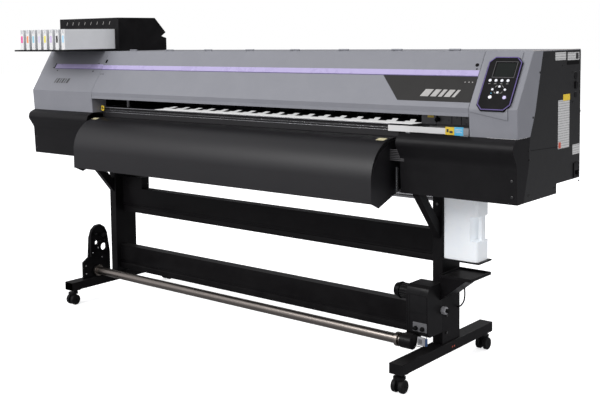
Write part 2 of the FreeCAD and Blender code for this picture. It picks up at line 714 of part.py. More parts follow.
def covers():
    """The fixed shell of the body."""
    half = "body_width / 2"
    under = "body_top - sheet"
    inner_brow = "brow_y + sheet * 0.6"
    inner_fold = "fold_y + sheet"
    profile = [("chin_y", "chin_z"), ("fold_y", "fold_z"),
               ("brow_y", "body_top"), ("body_rear - sheet", "body_top"),
               ("body_rear - sheet", under), (inner_brow, under),
               (inner_fold, "fold_z - 1"), ("chin_y + sheet", "chin_z")]
    strip = [("chin_y", "chin_z"), ("fold_y", "fold_z"),
             ("brow_y", "body_top"), ("panel_top_y", "body_top"),
             ("panel_top_y", under), ("panel_mid_y", "panel_mid_z"),
             ("panel_low_y + seam_lean", "chin_z")]
    wall = [("chin_y", "chin_z"), ("fold_y", "fold_z"),
            ("brow_y", "body_top"), ("beam_y - 32", "body_top"),
            ("beam_y - 32", "chin_z")]
    spans = {"left": ("-" + half, "bay_left + " + half, "0"),
             "right": ("bay_right", half + " - bay_right",
                       half + " - bay_right - sheet")}
    for side, (start, length, offset) in spans.items():
        body = prism("end_cover_" + side, start, length, profile)
        sketch = outline(body, "end_strip_" + side, "YZ_Plane", strip,
                         offset=offset)
        pad(body, "end_strip_pad_" + side, sketch, "sheet")
        if side == "left":
            inner = outline(body, "end_wall_outline", "YZ_Plane", wall,
                            offset="bay_left + %s - sheet" % half)
            pad(body, "end_wall", inner, "sheet")
        keep(body)
    lower_covers(half)
    side_panels(half)
    top = box("top_plate", "bay_left", "hinge_y + joint_gap",
              "body_top - sheet", "bay_right - bay_left",
              "body_rear - sheet - hinge_y - joint_gap", "sheet")
    pieces = [top]
    for i, x in enumerate(hinge_places()):
        start = x + " - hinge_length / 2"
        pieces.append(rod("top_knuckle_%d" % i, "X", start, "hinge_y",
                          HINGE_Z, "hinge_radius", "hinge_length"))
        pieces.append(box("top_leaf_%d" % i, start, "hinge_y",
                          "body_top + seat_gap", "hinge_length",
                          "3 * hinge_radius", "2"))
        pieces.append(box("top_foot_%d" % i, start, "hinge_y + 2",
                          "body_top - 1", "hinge_length",
                          "3 * hinge_radius - 2", "2"))
        pieces.append(rod("hinge_pin_%d" % i, "X", start + " + 1", "hinge_y",
                          HINGE_Z, "hinge_pin_radius",
                          "2 * hinge_length - 2"))
    keep(fuse("top_cover", pieces))
    rear = box("rear_upper", "sheet - " + half, "body_rear - sheet",
               "platen_z + 14", "body_width - 2 * sheet", "sheet",
               "body_top - platen_z - 14")
    low = box("rear_lower", "sheet - " + half, "body_rear - sheet",
              "rear_bottom", "body_width - 2 * sheet", "sheet",
              "platen_z - 90 - rear_bottom")
    keep(collect("rear_cover", [rear, low]))


def lower_covers(half):
    profile = [("chin_y", "chin_z - seat_gap"), ("lip_y", "lip_z"),
               ("bulge_y", "bulge_z"), ("waist_y", "waist_z"),
               ("skirt_y", "body_bottom"), ("toe_y", "body_bottom"),
               ("toe_y", "body_bottom + sheet"),
               ("skirt_y + sheet", "body_bottom + sheet"),
               ("waist_y + sheet", "waist_z"),
               ("bulge_y + sheet", "bulge_z"),
               ("lip_y + sheet", "lip_z - sheet"),
               ("chin_y", "chin_z - 2 * sheet")]
    strip = [("chin_y", "chin_z - seat_gap"), ("lip_y", "lip_z"),
             ("bulge_y", "bulge_z"), ("waist_y", "waist_z"),
             ("skirt_y", "body_bottom"), ("toe_y", "body_bottom"),
             ("panel_low_y", "panel_low_z - 47"),
             ("panel_low_y", "panel_low_z"),
             ("panel_low_y + seam_lean - seat_gap", "chin_z - seat_gap")]
    spans = {"left": ("-" + half, "lower_cover_left_end + " + half, "0"),
             "right": ("lower_cover_right_end",
                       half + " - lower_cover_right_end",
                       half + " - lower_cover_right_end - sheet")}
    pair = []
    for side, (start, length, offset) in spans.items():
        body = prism("lower_cover_" + side, start, length, profile)
        sketch = outline(body, "lower_strip_" + side, "YZ_Plane", strip,
                         offset=offset)
        pad(body, "lower_strip_pad_" + side, sketch, "sheet")
        pair.append(body)
    keep(collect("lower_covers", pair))


def side_panels(half):
    """Black panels that close both ends; the right one has the switch."""
    under = "body_top - sheet"
    points = [("panel_top_y", under), ("body_rear", under),
              ("body_rear", "rear_bottom"), ("step_y", "rear_bottom"),
              ("step_y", "body_bottom"), ("toe_y", "body_bottom"),
              ("panel_low_y", "panel_low_z - 47"),
              ("panel_low_y", "panel_low_z"),
              ("panel_low_y + seam_lean", "chin_z"),
              ("panel_mid_y", "panel_mid_z")]
    left = prism("side_panel_left", "-" + half, "sheet", points)
    guard = rod("fan_guard", "X", "-%s - 5" % half, "fan_y", "fan_z",
                "fan_radius + 6", 5)
    opening = rod("fan_opening", "X", "-%s - 6" % half, "fan_y", "fan_z",
                  "fan_radius", 5)
    left = cut("left_panel", fuse("panel_and_guard", [left, guard]), opening)
    blank = prism("side_panel_blank", half + " - sheet", "sheet", points)
    window = box("switch_window", half + " - sheet - 1",
                 "switch_y - switch_width / 2 - 0.5",
                 "switch_z - switch_height / 2 - 1.5",
                 "sheet + 2", "switch_width + 1", "switch_height + 3")
    inlet = box("inlet_window", half + " - sheet - 1",
                "inlet_y - inlet_width / 2", "inlet_z - inlet_height / 2",
                "sheet + 2", "inlet_width", "inlet_height")
    windows = fuse("panel_windows", [window, inlet])
    right = cut("right_panel", blank, windows)
    keep(collect("side_panels", [left, right]))
    frame = box("inlet_block", half + " - 30",
                "inlet_y - inlet_width / 2 + seat_gap",
                "inlet_z - inlet_height / 2 + seat_gap", "30 + 4",
                "inlet_width - 2 * seat_gap", "inlet_height - 2 * seat_gap")
    socket = box("inlet_socket", half + " - 16", "inlet_y - 14",
                 "inlet_z - 20", 21, 28, 18)
    keep(cut("power_inlet", frame, socket))
    rocker = box("rocker", half + " - 9", "switch_y - switch_width / 2",
                 "switch_z - switch_height / 2", 14, "switch_width",
                 "switch_height")
    pivot = rod("rocker_pivot", "Y", half + " - 6",
                "switch_y - switch_width / 2 - 0.45", "switch_z", 2.5,
                "switch_width + 0.9")
    keep(fuse("main_switch", [rocker, pivot]))


def front_cover():
    """The long cover that hinges up; its ends clear the end covers."""
    under = "body_top - sheet"
    points = [("hinge_y", "body_top"), ("brow_y", "body_top"),
              ("fold_y", "fold_z"), ("fold_y + 3", "flap_bottom"),
              ("fold_y + 3 + sheet", "flap_bottom"),
              ("fold_y + sheet", "fold_z - 1"),
              ("brow_y + sheet * 0.6", under), ("hinge_y", under)]
    body = prism("front_flap", "bay_left + joint_gap",
                 "bay_right - bay_left - 2 * joint_gap", points)
    pieces = [body]
    bores = []
    for i, x in enumerate(hinge_places()):
        start = x + " + hinge_length / 2 + seat_gap"
        name = "flap_knuckle_%d" % i
        pieces.append(rod(name, "X", start, "hinge_y", HINGE_Z,
                          "hinge_radius", "hinge_length"))
        pieces.append(box("flap_leaf_%d" % i, start,
                          "hinge_y - 3 * hinge_radius", "body_top - 1",
                          "hinge_length", "3 * hinge_radius", "2"))
        bores.append(rod("flap_bore_%d" % i, "X", start + " - 1", "hinge_y",
                         HINGE_Z, "hinge_pin_radius + running",
                         "hinge_length + 2"))
    solid = fuse("flap_solid", pieces)
    keep(cut("front_cover", solid, fuse("flap_bores", bores)))


HINGE_Z = "body_top + hinge_radius + seat_gap"


def hinge_places():
    """The middle of each hinge along X."""
    count = int(number("hinge_count"))
    step = "(bay_right - bay_left - 300) / %d" % (count - 1)
    return ["bay_left + 150 + %d * %s" % (i, step) for i in range(count)]


BED_FOOT = "(platen_z - bed_height)"


def base_frame():
    """Bent pan and the channel that carries the platen."""
    half = "body_width / 2"
    start = "sheet - " + half
    length = "body_width - 2 * sheet"
    front = "toe_y + 0.5"
    rear = "body_rear - sheet"
    pan = prism("base_pan", start, length,
                [(front, "body_bottom"), ("step_y", "body_bottom"),
                 ("step_y", "rear_bottom"), (rear, "rear_bottom"),
                 (rear, "rear_bottom + sheet"),
                 ("step_y - sheet", "rear_bottom + sheet"),
                 ("step_y - sheet", "body_bottom + sheet"),
                 (front, "body_bottom + sheet")])
    low = "(body_bottom + sheet)"
    high = BED_FOOT
    channel = prism("base_channel", start, length,
                    [("channel_front", low), ("channel_front", high),
                     ("channel_rear", high), ("channel_rear", low),
                     ("channel_rear - sheet", low),
                     ("channel_rear - sheet", high + " - sheet"),
                     ("channel_front + sheet", high + " - sheet"),
                     ("channel_front + sheet", low)])
    wells = [rod("cap_bore_%d" % i, "Z", "carriage_left + %d" % shift,
                 "cap_stem_y", high + " - 10", "cap_stem_radius + running",
                 20) for i, shift in enumerate((60, 172))]
    stands = []
    for name, x in (("left", "platen_left - 12"),
                    ("right", "platen_right + 28")):
        stands.append(box("feed_stand_" + name, x, "feed_y - grit_radius",
                          low, 8, "2 * grit_radius", "platen_z - " + low))
    wells.append(rod("feed_bores", "X", "platen_left - 20", "feed_y",
                     "platen_z - grit_radius", "grit_radius - 5 + running",
                     "platen_right - platen_left + 60"))
    welded = fuse("base_welded", [pan, channel] + stands)
    drilled = cut("base_drilled", welded, fuse("base_bores", wells))
    tray = prism("station_tray", "platen_right + 2",
                 "bay_right - 4 - platen_right - 2",
                 [("platen_front", high), ("platen_front", "platen_z"),
                  ("platen_front + sheet", "platen_z"),
                  ("platen_front + sheet", high + " + sheet"),
                  ("station_wall", high + " + sheet"),
                  ("station_wall", "platen_z + 45"),
                  ("station_wall + 5", "platen_z + 45"),
                  ("station_wall + 5", high)])
    keep(collect("base_frame", [drilled, tray]))


def platen():
    """Slotted bed in front of the feed line and the guide behind it."""
    low = BED_FOOT
    rim = "feed_y - grit_radius - 4"
    bed = prism("platen_bed", "platen_left", "platen_right - platen_left",
                [("platen_front", low), ("platen_front", "platen_z"),
                 (rim, "platen_z"), (rim, "platen_z - 4"),
                 ("platen_front + 4", "platen_z - 4"),
                 ("platen_front + 4", low)])
    rib = prism("platen_ribs", "platen_left",
                "platen_right - platen_left",
                [(-126, low), (-126, "platen_z - 4"), (-122, "platen_z - 4"),
                 (-122, low)])
    rib_rear = prism("platen_rib_rear", "platen_left",
                     "platen_right - platen_left",
                     [(28, low), (28, "platen_z - 4"), (32, "platen_z - 4"),
                      (32, low)])
    slab = fuse("platen_slab", [bed, rib, rib_rear])
    edge = "feed_y + grit_radius + 4"
    guide = prism("rear_guide", "platen_left", "platen_right - platen_left",
                  [(edge, "platen_z - 4"), (edge, "platen_z"),
                   (170, "platen_z - 6"), (250, "platen_z - 26"),
                   ("body_rear + 12", BED_FOOT),
                   ("body_rear + 12", "platen_z - 88"),
                   ("body_rear + 9", "platen_z - 88"),
                   ("body_rear + 9", "platen_z - 61"),
                   (248, "platen_z - 29"), (169, "platen_z - 9")])
    leg = box("guide_leg", "platen_left", 150, "rear_bottom + sheet",
              "platen_right - platen_left", 4,
              "platen_z - 7 - rear_bottom - sheet")
    keep(collect("platen", [slab, fuse("guide_solid", [guide, leg])]))


def feed_rollers():
    """Feed shaft below the bed line and sprung pinch arms above it."""
    axis_z = "platen_z - grit_radius"
    shaft = rod("grit_core", "X", "platen_left - 20", "feed_y", axis_z,
                "grit_radius - 5", "platen_right - platen_left + 60")
    rings = [rod("grit_ring_%d" % i, "X",
                 "pinch_first + %d * pinch_pitch - 22" % i, "feed_y",
                 axis_z, "grit_radius", 44)
             for i in range(int(number("pinch_count")))]
    keep(fuse("grit_shaft", [shaft] + rings))
    arms = []
    rollers = []
    roller_z = "platen_z + pinch_radius + 0.2"
    for i in range(int(number("pinch_count"))):
        x = "pinch_first + %d * pinch_pitch" % i
        arm = prism("pinch_arm_%d" % i, x + " - pinch_width / 2",
                    "pinch_width",
                    [("feed_y - 16", roller_z + " + 11"),
                     ("feed_y + 16", roller_z + " + 11"),
                     ("pivot_y + 12", "pivot_z - 10"),
                     ("pivot_y + 12", "pivot_z + 9"),
                     ("feed_y + 6", "pivot_z + 9"),
                     ("feed_y - 16", "pivot_z - 6")])
        ears = []
        for k, shift in enumerate(("-26", "+20")):
            ears.append(box("pinch_ear_%d_%d" % (i, k), x + " " + shift,
                            "feed_y - 7", roller_z + " - 4", 6, 14, 17))
        bore = rod("pinch_arm_bore_%d" % i, "X", x + " - pinch_width / 2 - 1",
                   "pivot_y", "pivot_z", "pivot_radius + running",
                   "pinch_width + 2")
        solid = fuse("pinch_arm_solid_%d" % i, [arm] + ears)
        arms.append(cut("pinch_arm_bored_%d" % i, solid, bore))
        wheel = rod("pinch_wheel_%d" % i, "X", x + " - 19.5", "feed_y",
                    roller_z, "pinch_radius", 39)
        rollers.append(wheel)
    bar = rod("pinch_bar", "X", "sheet - body_width / 2", "pivot_y",
              "pivot_z", "pivot_radius", "body_width - 2 * sheet")
    keep(collect("pinch_arms", arms + [bar]))
    keep(collect("pinch_rollers", rollers))
    keep(clamp_lever())


def clamp_lever():
    """A turning knob with a handle, on the wall in front of the station."""
    front = "station_wall - 16"
    hub = rod("lever_hub", "Y", "lever_x", front, "lever_z", 8, "15.7")
    handle = box("lever_handle", "lever_x - 3", front, "lever_z - 1",
                 6, 8, 21)
    return fuse("clamp_lever", [hub, handle])


def print_gear():
    """Beam with its rail and belt, the carriage and the capping unit."""
    inner = "sheet - body_width / 2"
    span = "body_width - 2 * sheet"
    beam = tube_box("beam_tube", "X", inner, "beam_y", "beam_z",
                    span, "beam_depth", "beam_height")
    rail = box("beam_rail", inner, "beam_y - rail_size",
               "beam_z + beam_height / 2 - rail_size / 2",
               span, "rail_size", "rail_size")
    belt = box("drive_belt", "belt_inset - body_width / 2",
               "beam_y - rail_size", "beam_z + beam_height - 26",
               "body_width - 2 * belt_inset", 2, 10)
    ends = []
    for name, x in (("left", "belt_inset - body_width / 2"),
                    ("right", "body_width / 2 - belt_inset")):
        ends.append(rod("belt_pulley_" + name, "Z", x, "beam_y - 6",
                        "beam_z + beam_height - 28", 5.7, 14))
    keep(collect("carriage_beam", [beam, rail, belt] + ends))
    case = box("carriage_case", "carriage_left", "carriage_front",
               "carriage_bottom", "carriage_width",
               "beam_y - rail_size - 3 - carriage_front",
               "carriage_height")
    shoe_z = "beam_z + beam_height / 2 - rail_size / 2 - 8"
    shoe = box("carriage_shoe", "carriage_left + 30",
               "beam_y - rail_size - 4", shoe_z,
               "carriage_width - 60", "rail_size + 2", "rail_size + 16")
    slot = box("carriage_slot", "carriage_left", "beam_y - rail_size - 0.3",
               "beam_z + beam_height / 2 - rail_size / 2 - 0.3",
               "carriage_width", "rail_size + 2", "rail_size + 0.6")
    solid = fuse("carriage_solid", [case, shoe])
    keep(cut("carriage", solid, slot))
    tub = box("cap_tub", "carriage_left + 16", "cap_front", "cap_bottom",
              "carriage_width - 32", "cap_depth",
              "carriage_bottom - 2 - cap_bottom")
    well = box("cap_well", "carriage_left + 22", "cap_front + 6",
               "cap_bottom + 8", "carriage_width - 44", "cap_depth - 12",
               "carriage_bottom - cap_bottom - 6")
    stems = [rod("cap_stem_%d" % i, "Z", "carriage_left + %d" % shift,
                 "cap_stem_y", "cap_bottom - 38", "cap_stem_radius", 40)
             for i, shift in enumerate((60, 172))]
    keep(fuse("cap_station", [cut("cap_cup", tub, well)] + stems))


def apron():
    """Curved guide below the slot: an arc, then a straight drop."""
    body = doc.addObject("PartDesign::Body", "apron_sheet")
    body.Label = "apron_sheet"
    sketch = body.newObject("Sketcher::SketchObject", "apron_outline")
    sketch.AttachmentSupport = [(origin_plane(body, "YZ_Plane"), "")]
    sketch.MapMode = "FlatFace"
    cy = number("apron_centre_y")
    cz = number("apron_centre_z")
    low = number("apron_bottom")
    radii = (number("apron_radius"), number("apron_radius - sheet"))
    for radius in radii:
        circle = Part.Circle(V(cy, cz, 0), V(0, 0, 1), radius)
        arc = Part.ArcOfCircle(circle, 1.5707963, 3.1415927)
        sketch.addGeometry(arc, False)
    out, inn = radii
    lines = [((cy, cz + out), (cy, cz + inn)),
             ((cy - out, cz), (cy - out, low)),
             ((cy - out, low), (cy - inn, low)),
             ((cy - inn, low), (cy - inn, cz))]
    for first, second in lines:
        sketch.addGeometry(Part.LineSegment(V(*first, 0), V(*second, 0)),
                           False)
    joints = [(0, 1, 2, 1), (1, 1, 2, 2), (0, 2, 3, 1), (3, 2, 4, 1),
              (4, 2, 5, 1), (5, 2, 1, 2), (0, 3, 1, 3)]
    for joint in joints:
        sketch.addConstraint(Sketcher.Constraint("Coincident", *joint))
    for edge in (2, 3, 5):
        sketch.addConstraint(Sketcher.Constraint("Vertical", edge))
    sketch.addConstraint(Sketcher.Constraint("Horizontal", 4))
    fix_point(sketch, 0, 3, "apron_centre_y", "apron_centre_z")
    for edge, text in ((0, "apron_radius"), (1, "apron_radius - sheet")):
        rule = Sketcher.Constraint("Radius", edge, number(text))
        bind(sketch, "Constraints[%d]" % sketch.addConstraint(rule), text)
    hold(sketch, "DistanceX", 0, 1, "apron_centre_y")
    hold(sketch, "DistanceY", 0, 2, "apron_centre_z")
    hold(sketch, "DistanceY", 1, 2, "apron_centre_z")
    hold(sketch, "DistanceY", 3, 2, "apron_bottom")
    pad(body, "apron_pad", sketch, "apron_right - apron_left")
    bind(body, "Placement.Base.x", "apron_left")
    lip = box("apron_lip", "apron_left", "apron_centre_y",
              "apron_centre_z + apron_radius - sheet",
              "apron_right - apron_left",
              "platen_front - seat_gap - apron_centre_y", "sheet")
    skin = fuse("apron_skin", [body, lip])
    keep(collect("media_apron", [skin] + apron_sides()))


def apron_sides():
    """Plates that close the ends of the guide and carry it."""
    sides = []
    edge = "apron_centre_y - apron_radius + sheet + 0.5"
    points = [(edge, "apron_bottom"), ("-319", "apron_bottom - 22"),
              ("toe_y - 2", "body_bottom - 6"),
              ("toe_y - 2", "body_bottom + sheet + 1"),
              ("channel_front - 1", "body_bottom + sheet + 1"),
              ("channel_front - 1", "platen_z - bed_height - 4"), ("platen_front - 4", BED_FOOT),
              ("apron_centre_y - 16", "apron_centre_z + 138"),
              ("apron_centre_y - 90", "apron_centre_z + 100"),
              ("apron_centre_y - 132", "apron_centre_z + 50"),
              (edge, "apron_centre_z")]
    for name, x in (("left", "apron_left + 1"),
                    ("right", "apron_right - sheet - 1")):
        sides.append(prism("apron_side_" + name, x, "sheet", points))
    return sides


KEYS = {
    "key_f_one": (26, 120, 1.0), "key_f_two": (49, 120, 1.0),
    "key_f_three": (72, 120, 1.0), "key_f_four": (95, 120, 1.0),
    "key_up": (69, 96, 0.8), "key_left": (45, 84, 0.8),
    "key_right": (93, 84, 0.8), "key_down": (68, 72, 0.8),
    "key_end": (44, 53, 1.2), "key_enter": (99, 53, 1.2),
}


def tilt(item):
    """Lay a piece on the sloping front of the right end cover."""
    item.Placement = FreeCAD.Placement(V(), FreeCAD.Rotation(V(1, 0, 0), 57.8))
    bind(item, "Placement.Rotation.Angle", "slope_angle")
    return item


def on_slope(u, v, depth):
    """X, Y and Z of a point on the panel: across, up and out of it."""
    along = "(%s - console_drop)" % v
    run = "cos(slope_angle * 1 deg)"
    rise = "sin(slope_angle * 1 deg)"
    y = "fold_y + %s * %s - (%s) * %s" % (along, run, depth, rise)
    z = "fold_z + %s * %s + (%s) * %s" % (along, rise, depth, run)
    return ("console_left + " + str(u), y, z)


def control_panel():
    """A bezel with holes for its keys and a window, and the keys."""
    wide = "console_width"
    tall = "console_length"
    points = [(18, 0), (wide + " - 22", 0), (wide + " - 4", 20),
              (wide, 44), (wide, tall + " - 18"),
              (wide + " - 16", tall), (24, tall), (4, tall + " - 16"),
              (0, tall + " - 40"), (0, 20)]
    body = doc.addObject("PartDesign::Body", "control_panel")
    body.Label = "control_panel"
    holes = [(u, v, "key_radius * %s + key_gap" % share)
             for u, v, share in KEYS.values()]
    sketch = outline(body, "console_outline", "XY_Plane", points, holes)
    pad(body, "console_pad", sketch, "console_depth")
    recess = body.newObject("PartDesign::Pocket", "console_window")
    recess.Profile = outline(body, "window_outline", "XY_Plane",
                             [(32, 137), (110, 137), (110, 195), (32, 195)],
                             offset="console_depth")
    recess.Length = 2.5
    bind(recess, "Length", "console_depth - 5.5")
    tilt(body)
    place(body, *on_slope(0, 0, "seat_gap"))
    keep(body)
    for name, (u, v, share) in KEYS.items():
        key = doc.addObject("Part::Cylinder", name)
        key.Label = name
        bind(key, "Radius", "key_radius * %s" % share)
        bind(key, "Height", "console_depth + key_proud - 3")
        tilt(key)
        place(key, *on_slope(u, v, "seat_gap + 3"))
        keep(key)


def ink_unit():
    """The tall unit on the left, its shelf and eight cartridges."""
    left = "-body_width / 2"
    width = "ink_right + body_width / 2"
    profile = [("ink_front", "body_top"), ("ink_rear", "body_top"),
               ("ink_rear", "ink_top - 106"), ("ink_rear - 34", "ink_top - 96"),
               ("ink_rear - 4", "ink_top - 76"), ("ink_rear - 80", "ink_top"),
               ("ink_front", "ink_top")]
    block = prism("ink_block", left, width, profile)
    bays = []
    for i in range(8):
        x = "cartridge_left + %d * cartridge_pitch" % i
        bays.append(box("ink_bay_%d" % i, x + " - 1", "ink_front - 1",
                        "bay_floor", "cartridge_width + 2",
                        "cartridge_inside + 3", "cartridge_height + 2"))
    hollow = box("ink_hollow", left + " + 6", "ink_front + 70",
                 "body_top + 6", "ink_right + body_width / 2 - 12",
                 "ink_rear - ink_front - 118", "ink_top - body_top - 40")
    tool = fuse("ink_bays", bays + [hollow])
    housing = cut("ink_housing", block, tool)
    shelf = box("ink_shelf", "cartridge_left - 60", "cartridge_front + 3",
                "bay_floor - 8 - seat_gap",
                "8 * cartridge_pitch + 40",
                "ink_front - cartridge_front - 3", 8)
    keep(collect("ink_unit", [housing, shelf]))
    for i in range(8):
        x = "cartridge_left + %d * cartridge_pitch" % i
        keep(box("cartridge_%d" % (i + 1), x, "cartridge_front",
                 "bay_floor", "cartridge_width",
                 "ink_front + cartridge_inside - cartridge_front",
                 "cartridge_height"))


def supply_roll():
    """The shaft behind the stand that holds a roll of material."""
    start = "leg_centre - leg_span / 2 + 22"
    core = rod("supply_core", "X", start, "supply_y", "supply_z",
               "supply_radius", "leg_span - 44")
    axle = rod("supply_axle", "X", "leg_centre - leg_span / 2 - 18",
               "supply_y", "supply_z", "journal_radius", "leg_span + 36")
    discs = []
    for name, x in (("left", start + " + 30"),
                    ("right", "leg_centre + leg_span / 2 - 72")):
        discs.append(rod("supply_disc_" + name, "X", x, "supply_y",
                         "supply_z", "supply_flange", 12))
    keep(fuse("supply_shaft", [core, axle] + discs))


def check_and_export():
    """Refuse a failed document, then write one file per sub-part."""
    doc.recompute()
    for item in doc.Objects:
        if "Invalid" in item.State or "Error" in item.State:
            raise RuntimeError("failed: " + item.Label)
    for item in parts:
        if item.Shape.isNull() or not item.Shape.isValid():
            raise RuntimeError("bad shape: " + item.Label)
    os.makedirs("parts", exist_ok=True)
    for item in parts:
        item.Shape.exportStep("parts/%s.step" % item.Label)
    print(len(parts), "parts written")


fill_sheet()
stand()
stand_bolts()
casters()
stand_brackets()
take_up()
waste_bottle()
cables()
covers()
front_cover()
base_frame()
platen()
feed_rollers()
print_gear()
apron()
control_panel()
ink_unit()
supply_roll()
check_and_export()
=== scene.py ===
"""Looks of the roll printer: covers, labels, finishes, light and camera.

X runs along the carriage, the operator stands at -Y and the floor is Z = 0.
Lengths are metres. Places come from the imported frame; sizes that the frame
does not give are named where they are used.
"""

import json
import math

import bmesh
import bpy
from mathutils import Matrix, Vector
from mathutils.bvhtree import BVHTree


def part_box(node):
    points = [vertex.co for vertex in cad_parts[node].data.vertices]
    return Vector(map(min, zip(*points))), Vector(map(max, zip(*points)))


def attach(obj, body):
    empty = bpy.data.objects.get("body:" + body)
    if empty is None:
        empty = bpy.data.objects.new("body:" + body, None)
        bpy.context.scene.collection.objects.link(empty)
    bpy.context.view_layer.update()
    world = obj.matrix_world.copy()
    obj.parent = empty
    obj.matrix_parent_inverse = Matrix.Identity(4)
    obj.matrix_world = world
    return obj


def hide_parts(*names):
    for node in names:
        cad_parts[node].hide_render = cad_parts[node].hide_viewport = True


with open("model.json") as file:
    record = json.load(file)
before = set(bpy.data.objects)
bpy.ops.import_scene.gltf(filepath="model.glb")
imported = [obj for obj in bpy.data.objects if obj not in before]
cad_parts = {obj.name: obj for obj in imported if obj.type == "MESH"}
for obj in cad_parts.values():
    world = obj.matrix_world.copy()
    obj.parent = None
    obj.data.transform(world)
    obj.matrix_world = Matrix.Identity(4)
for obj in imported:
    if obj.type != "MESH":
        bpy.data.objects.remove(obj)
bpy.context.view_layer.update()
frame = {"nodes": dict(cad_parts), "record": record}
nodes = frame["nodes"]
MM = 0.001


# --- where things are ----------------------------------------------------

def low(name):
    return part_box(name)[0]


def high(name):
    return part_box(name)[1]


def middle(name):
    return (low(name) + high(name)) / 2


def farthest(name, direction):
    """The corner of a node that lies furthest along a direction."""
    way = Vector(direction)
    return max((v.co.copy() for v in nodes[name].data.vertices), key=way.dot)


CHIN = farthest("end_cover_right", (0, -0.4, -1))
FOLD = farthest("end_cover_right", (0, -1, 0))
BROW = farthest("end_cover_right", (0, -0.3, 1))
UP_SLOPE = Vector((0, BROW.y - FOLD.y, BROW.z - FOLD.z)).normalized()
OUT_SLOPE = Vector((0, -UP_SLOPE.z, UP_SLOPE.y))


def slope_frame(x, up, lift=0.0):
    """Across, up and out of the sloping front, from its fold at one x."""
    origin = Vector((x, FOLD.y, FOLD.z)) + up * UP_SLOPE + lift * OUT_SLOPE
    turn = Matrix((Vector((1, 0, 0)), UP_SLOPE, OUT_SLOPE)).transposed()
    return Matrix.Translation(origin) @ turn.to_4x4()


def wall_frame(origin, across, out):
    """A flat frame on a wall: across and up along it, and out of it."""
    across = Vector(across).normalized()
    out = Vector(out).normalized()
    turn = Matrix((across, out.cross(across), out)).transposed()
    return Matrix.Translation(Vector(origin)) @ turn.to_4x4()


# --- mesh helpers --------------------------------------------------------

def piece(bm, name, material, body="frame", bevel=0.0, steps=3,
          smooth=38.0, replaces=()):
    """Turn a bmesh into a finished piece that rides on a body."""
    bm.normal_update()
    mesh = bpy.data.meshes.new(name)
    bm.to_mesh(mesh)
    bm.free()
    obj = bpy.data.objects.new(name, mesh)
    bpy.context.scene.collection.objects.link(obj)
    materials = material if isinstance(material, (list, tuple)) else [material]
    for item in materials:
        mesh.materials.append(item)
    soften(obj, bevel, steps, smooth)
    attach(obj, body)
    if replaces:
        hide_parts(*replaces)
    return obj


def soften(obj, width, steps=3, smooth=38.0):
    """Round the hard edges and shade the rest smooth."""
    mesh = obj.data
    mesh.shade_smooth()
    mesh.set_sharp_from_angle(angle=math.radians(smooth))
    if width > 0:
        mod = obj.modifiers.new("edges", "BEVEL")
        mod.width = width
        mod.segments = steps
        mod.limit_method = "ANGLE"
        mod.angle_limit = math.radians(smooth)
        mod.use_clamp_overlap = True
        mod.harden_normals = True


def merged(name):
    """A clean bmesh of a frame node: welded, with its flat faces joined."""
    bm = bmesh.new()
    bm.from_mesh(nodes[name].data)
    bmesh.ops.remove_doubles(bm, verts=bm.verts, dist=0.02 * MM)
    bmesh.ops.dissolve_limit(bm, angle_limit=math.radians(1.5),
                             verts=bm.verts, edges=bm.edges)
    return bm


def softened(name, material, bevel=1.2 * MM, steps=2, body="frame",
             smooth=38.0):
    """A copy of a frame node with rounded edges, which stands for it."""
    return piece(merged(name), name + "_shell", material, body, bevel,
                 steps, smooth, replaces=[name])


def block(bm, first, last, matrix=None):
    """A box between two corners."""
    first, last = Vector(first), Vector(last)
    size = last - first
    place = Matrix.Translation((first + last) / 2)
    place = place @ Matrix.Diagonal((*size, 1))
    if matrix is not None:
        place = matrix @ place
    return bmesh.ops.create_cube(bm, size=1, matrix=place)["verts"]


def rod(bm, start, end, radius, end_radius=None, steps=24):
    """A closed cylinder or cone between two points."""
    start, end = Vector(start), Vector(end)
    run = end - start
    turn = run.to_track_quat("Z", "Y").to_matrix().to_4x4()
    place = Matrix.Translation((start + end) / 2) @ turn
    radius_end = radius if end_radius is None else end_radius
    return bmesh.ops.create_cone(
        bm, cap_ends=True, segments=steps, radius1=radius,
        radius2=radius_end, depth=run.length, matrix=place)["verts"]


def lathe(bm, profile, start, axis, steps=32):
    """Spin (distance along the axis, radius) points round the axis."""
    axis = Vector(axis).normalized()
    side = axis.orthogonal().normalized()
    start = Vector(start)
    verts = [bm.verts.new(start + axis * a + side * r) for a, r in profile]
    edges = [bm.edges.new(pair) for pair in zip(verts, verts[1:])]
    made = bmesh.ops.spin(bm, geom=verts + edges, cent=start, axis=axis,
                          angle=2 * math.pi, steps=steps, use_merge=True)
    points = {v for v in verts if v.is_valid}
    points.update(g for g in made["geom_last"]
                  if isinstance(g, bmesh.types.BMVert) and g.is_valid)
    reach = set()
    edge_of = list(points)
    while edge_of:
        v = edge_of.pop()
        if v in reach:
            continue
        reach.add(v)
        edge_of.extend(e.other_vert(v) for e in v.link_edges)
    bmesh.ops.remove_doubles(bm, verts=list(reach), dist=0.01 * MM)
    faces = {f for v in reach if v.is_valid for f in v.link_faces}
    bmesh.ops.recalc_face_normals(bm, faces=list(faces))
    return list(faces)


def turned(bm, profile, start, axis, steps=32):
    """Lathe a profile given in millimetres."""
    return lathe(bm, scaled(profile), start, axis, steps)


def scaled(points):
    """Pairs in millimetres as metres."""
    return [(a * MM, b * MM) for a, b in points]


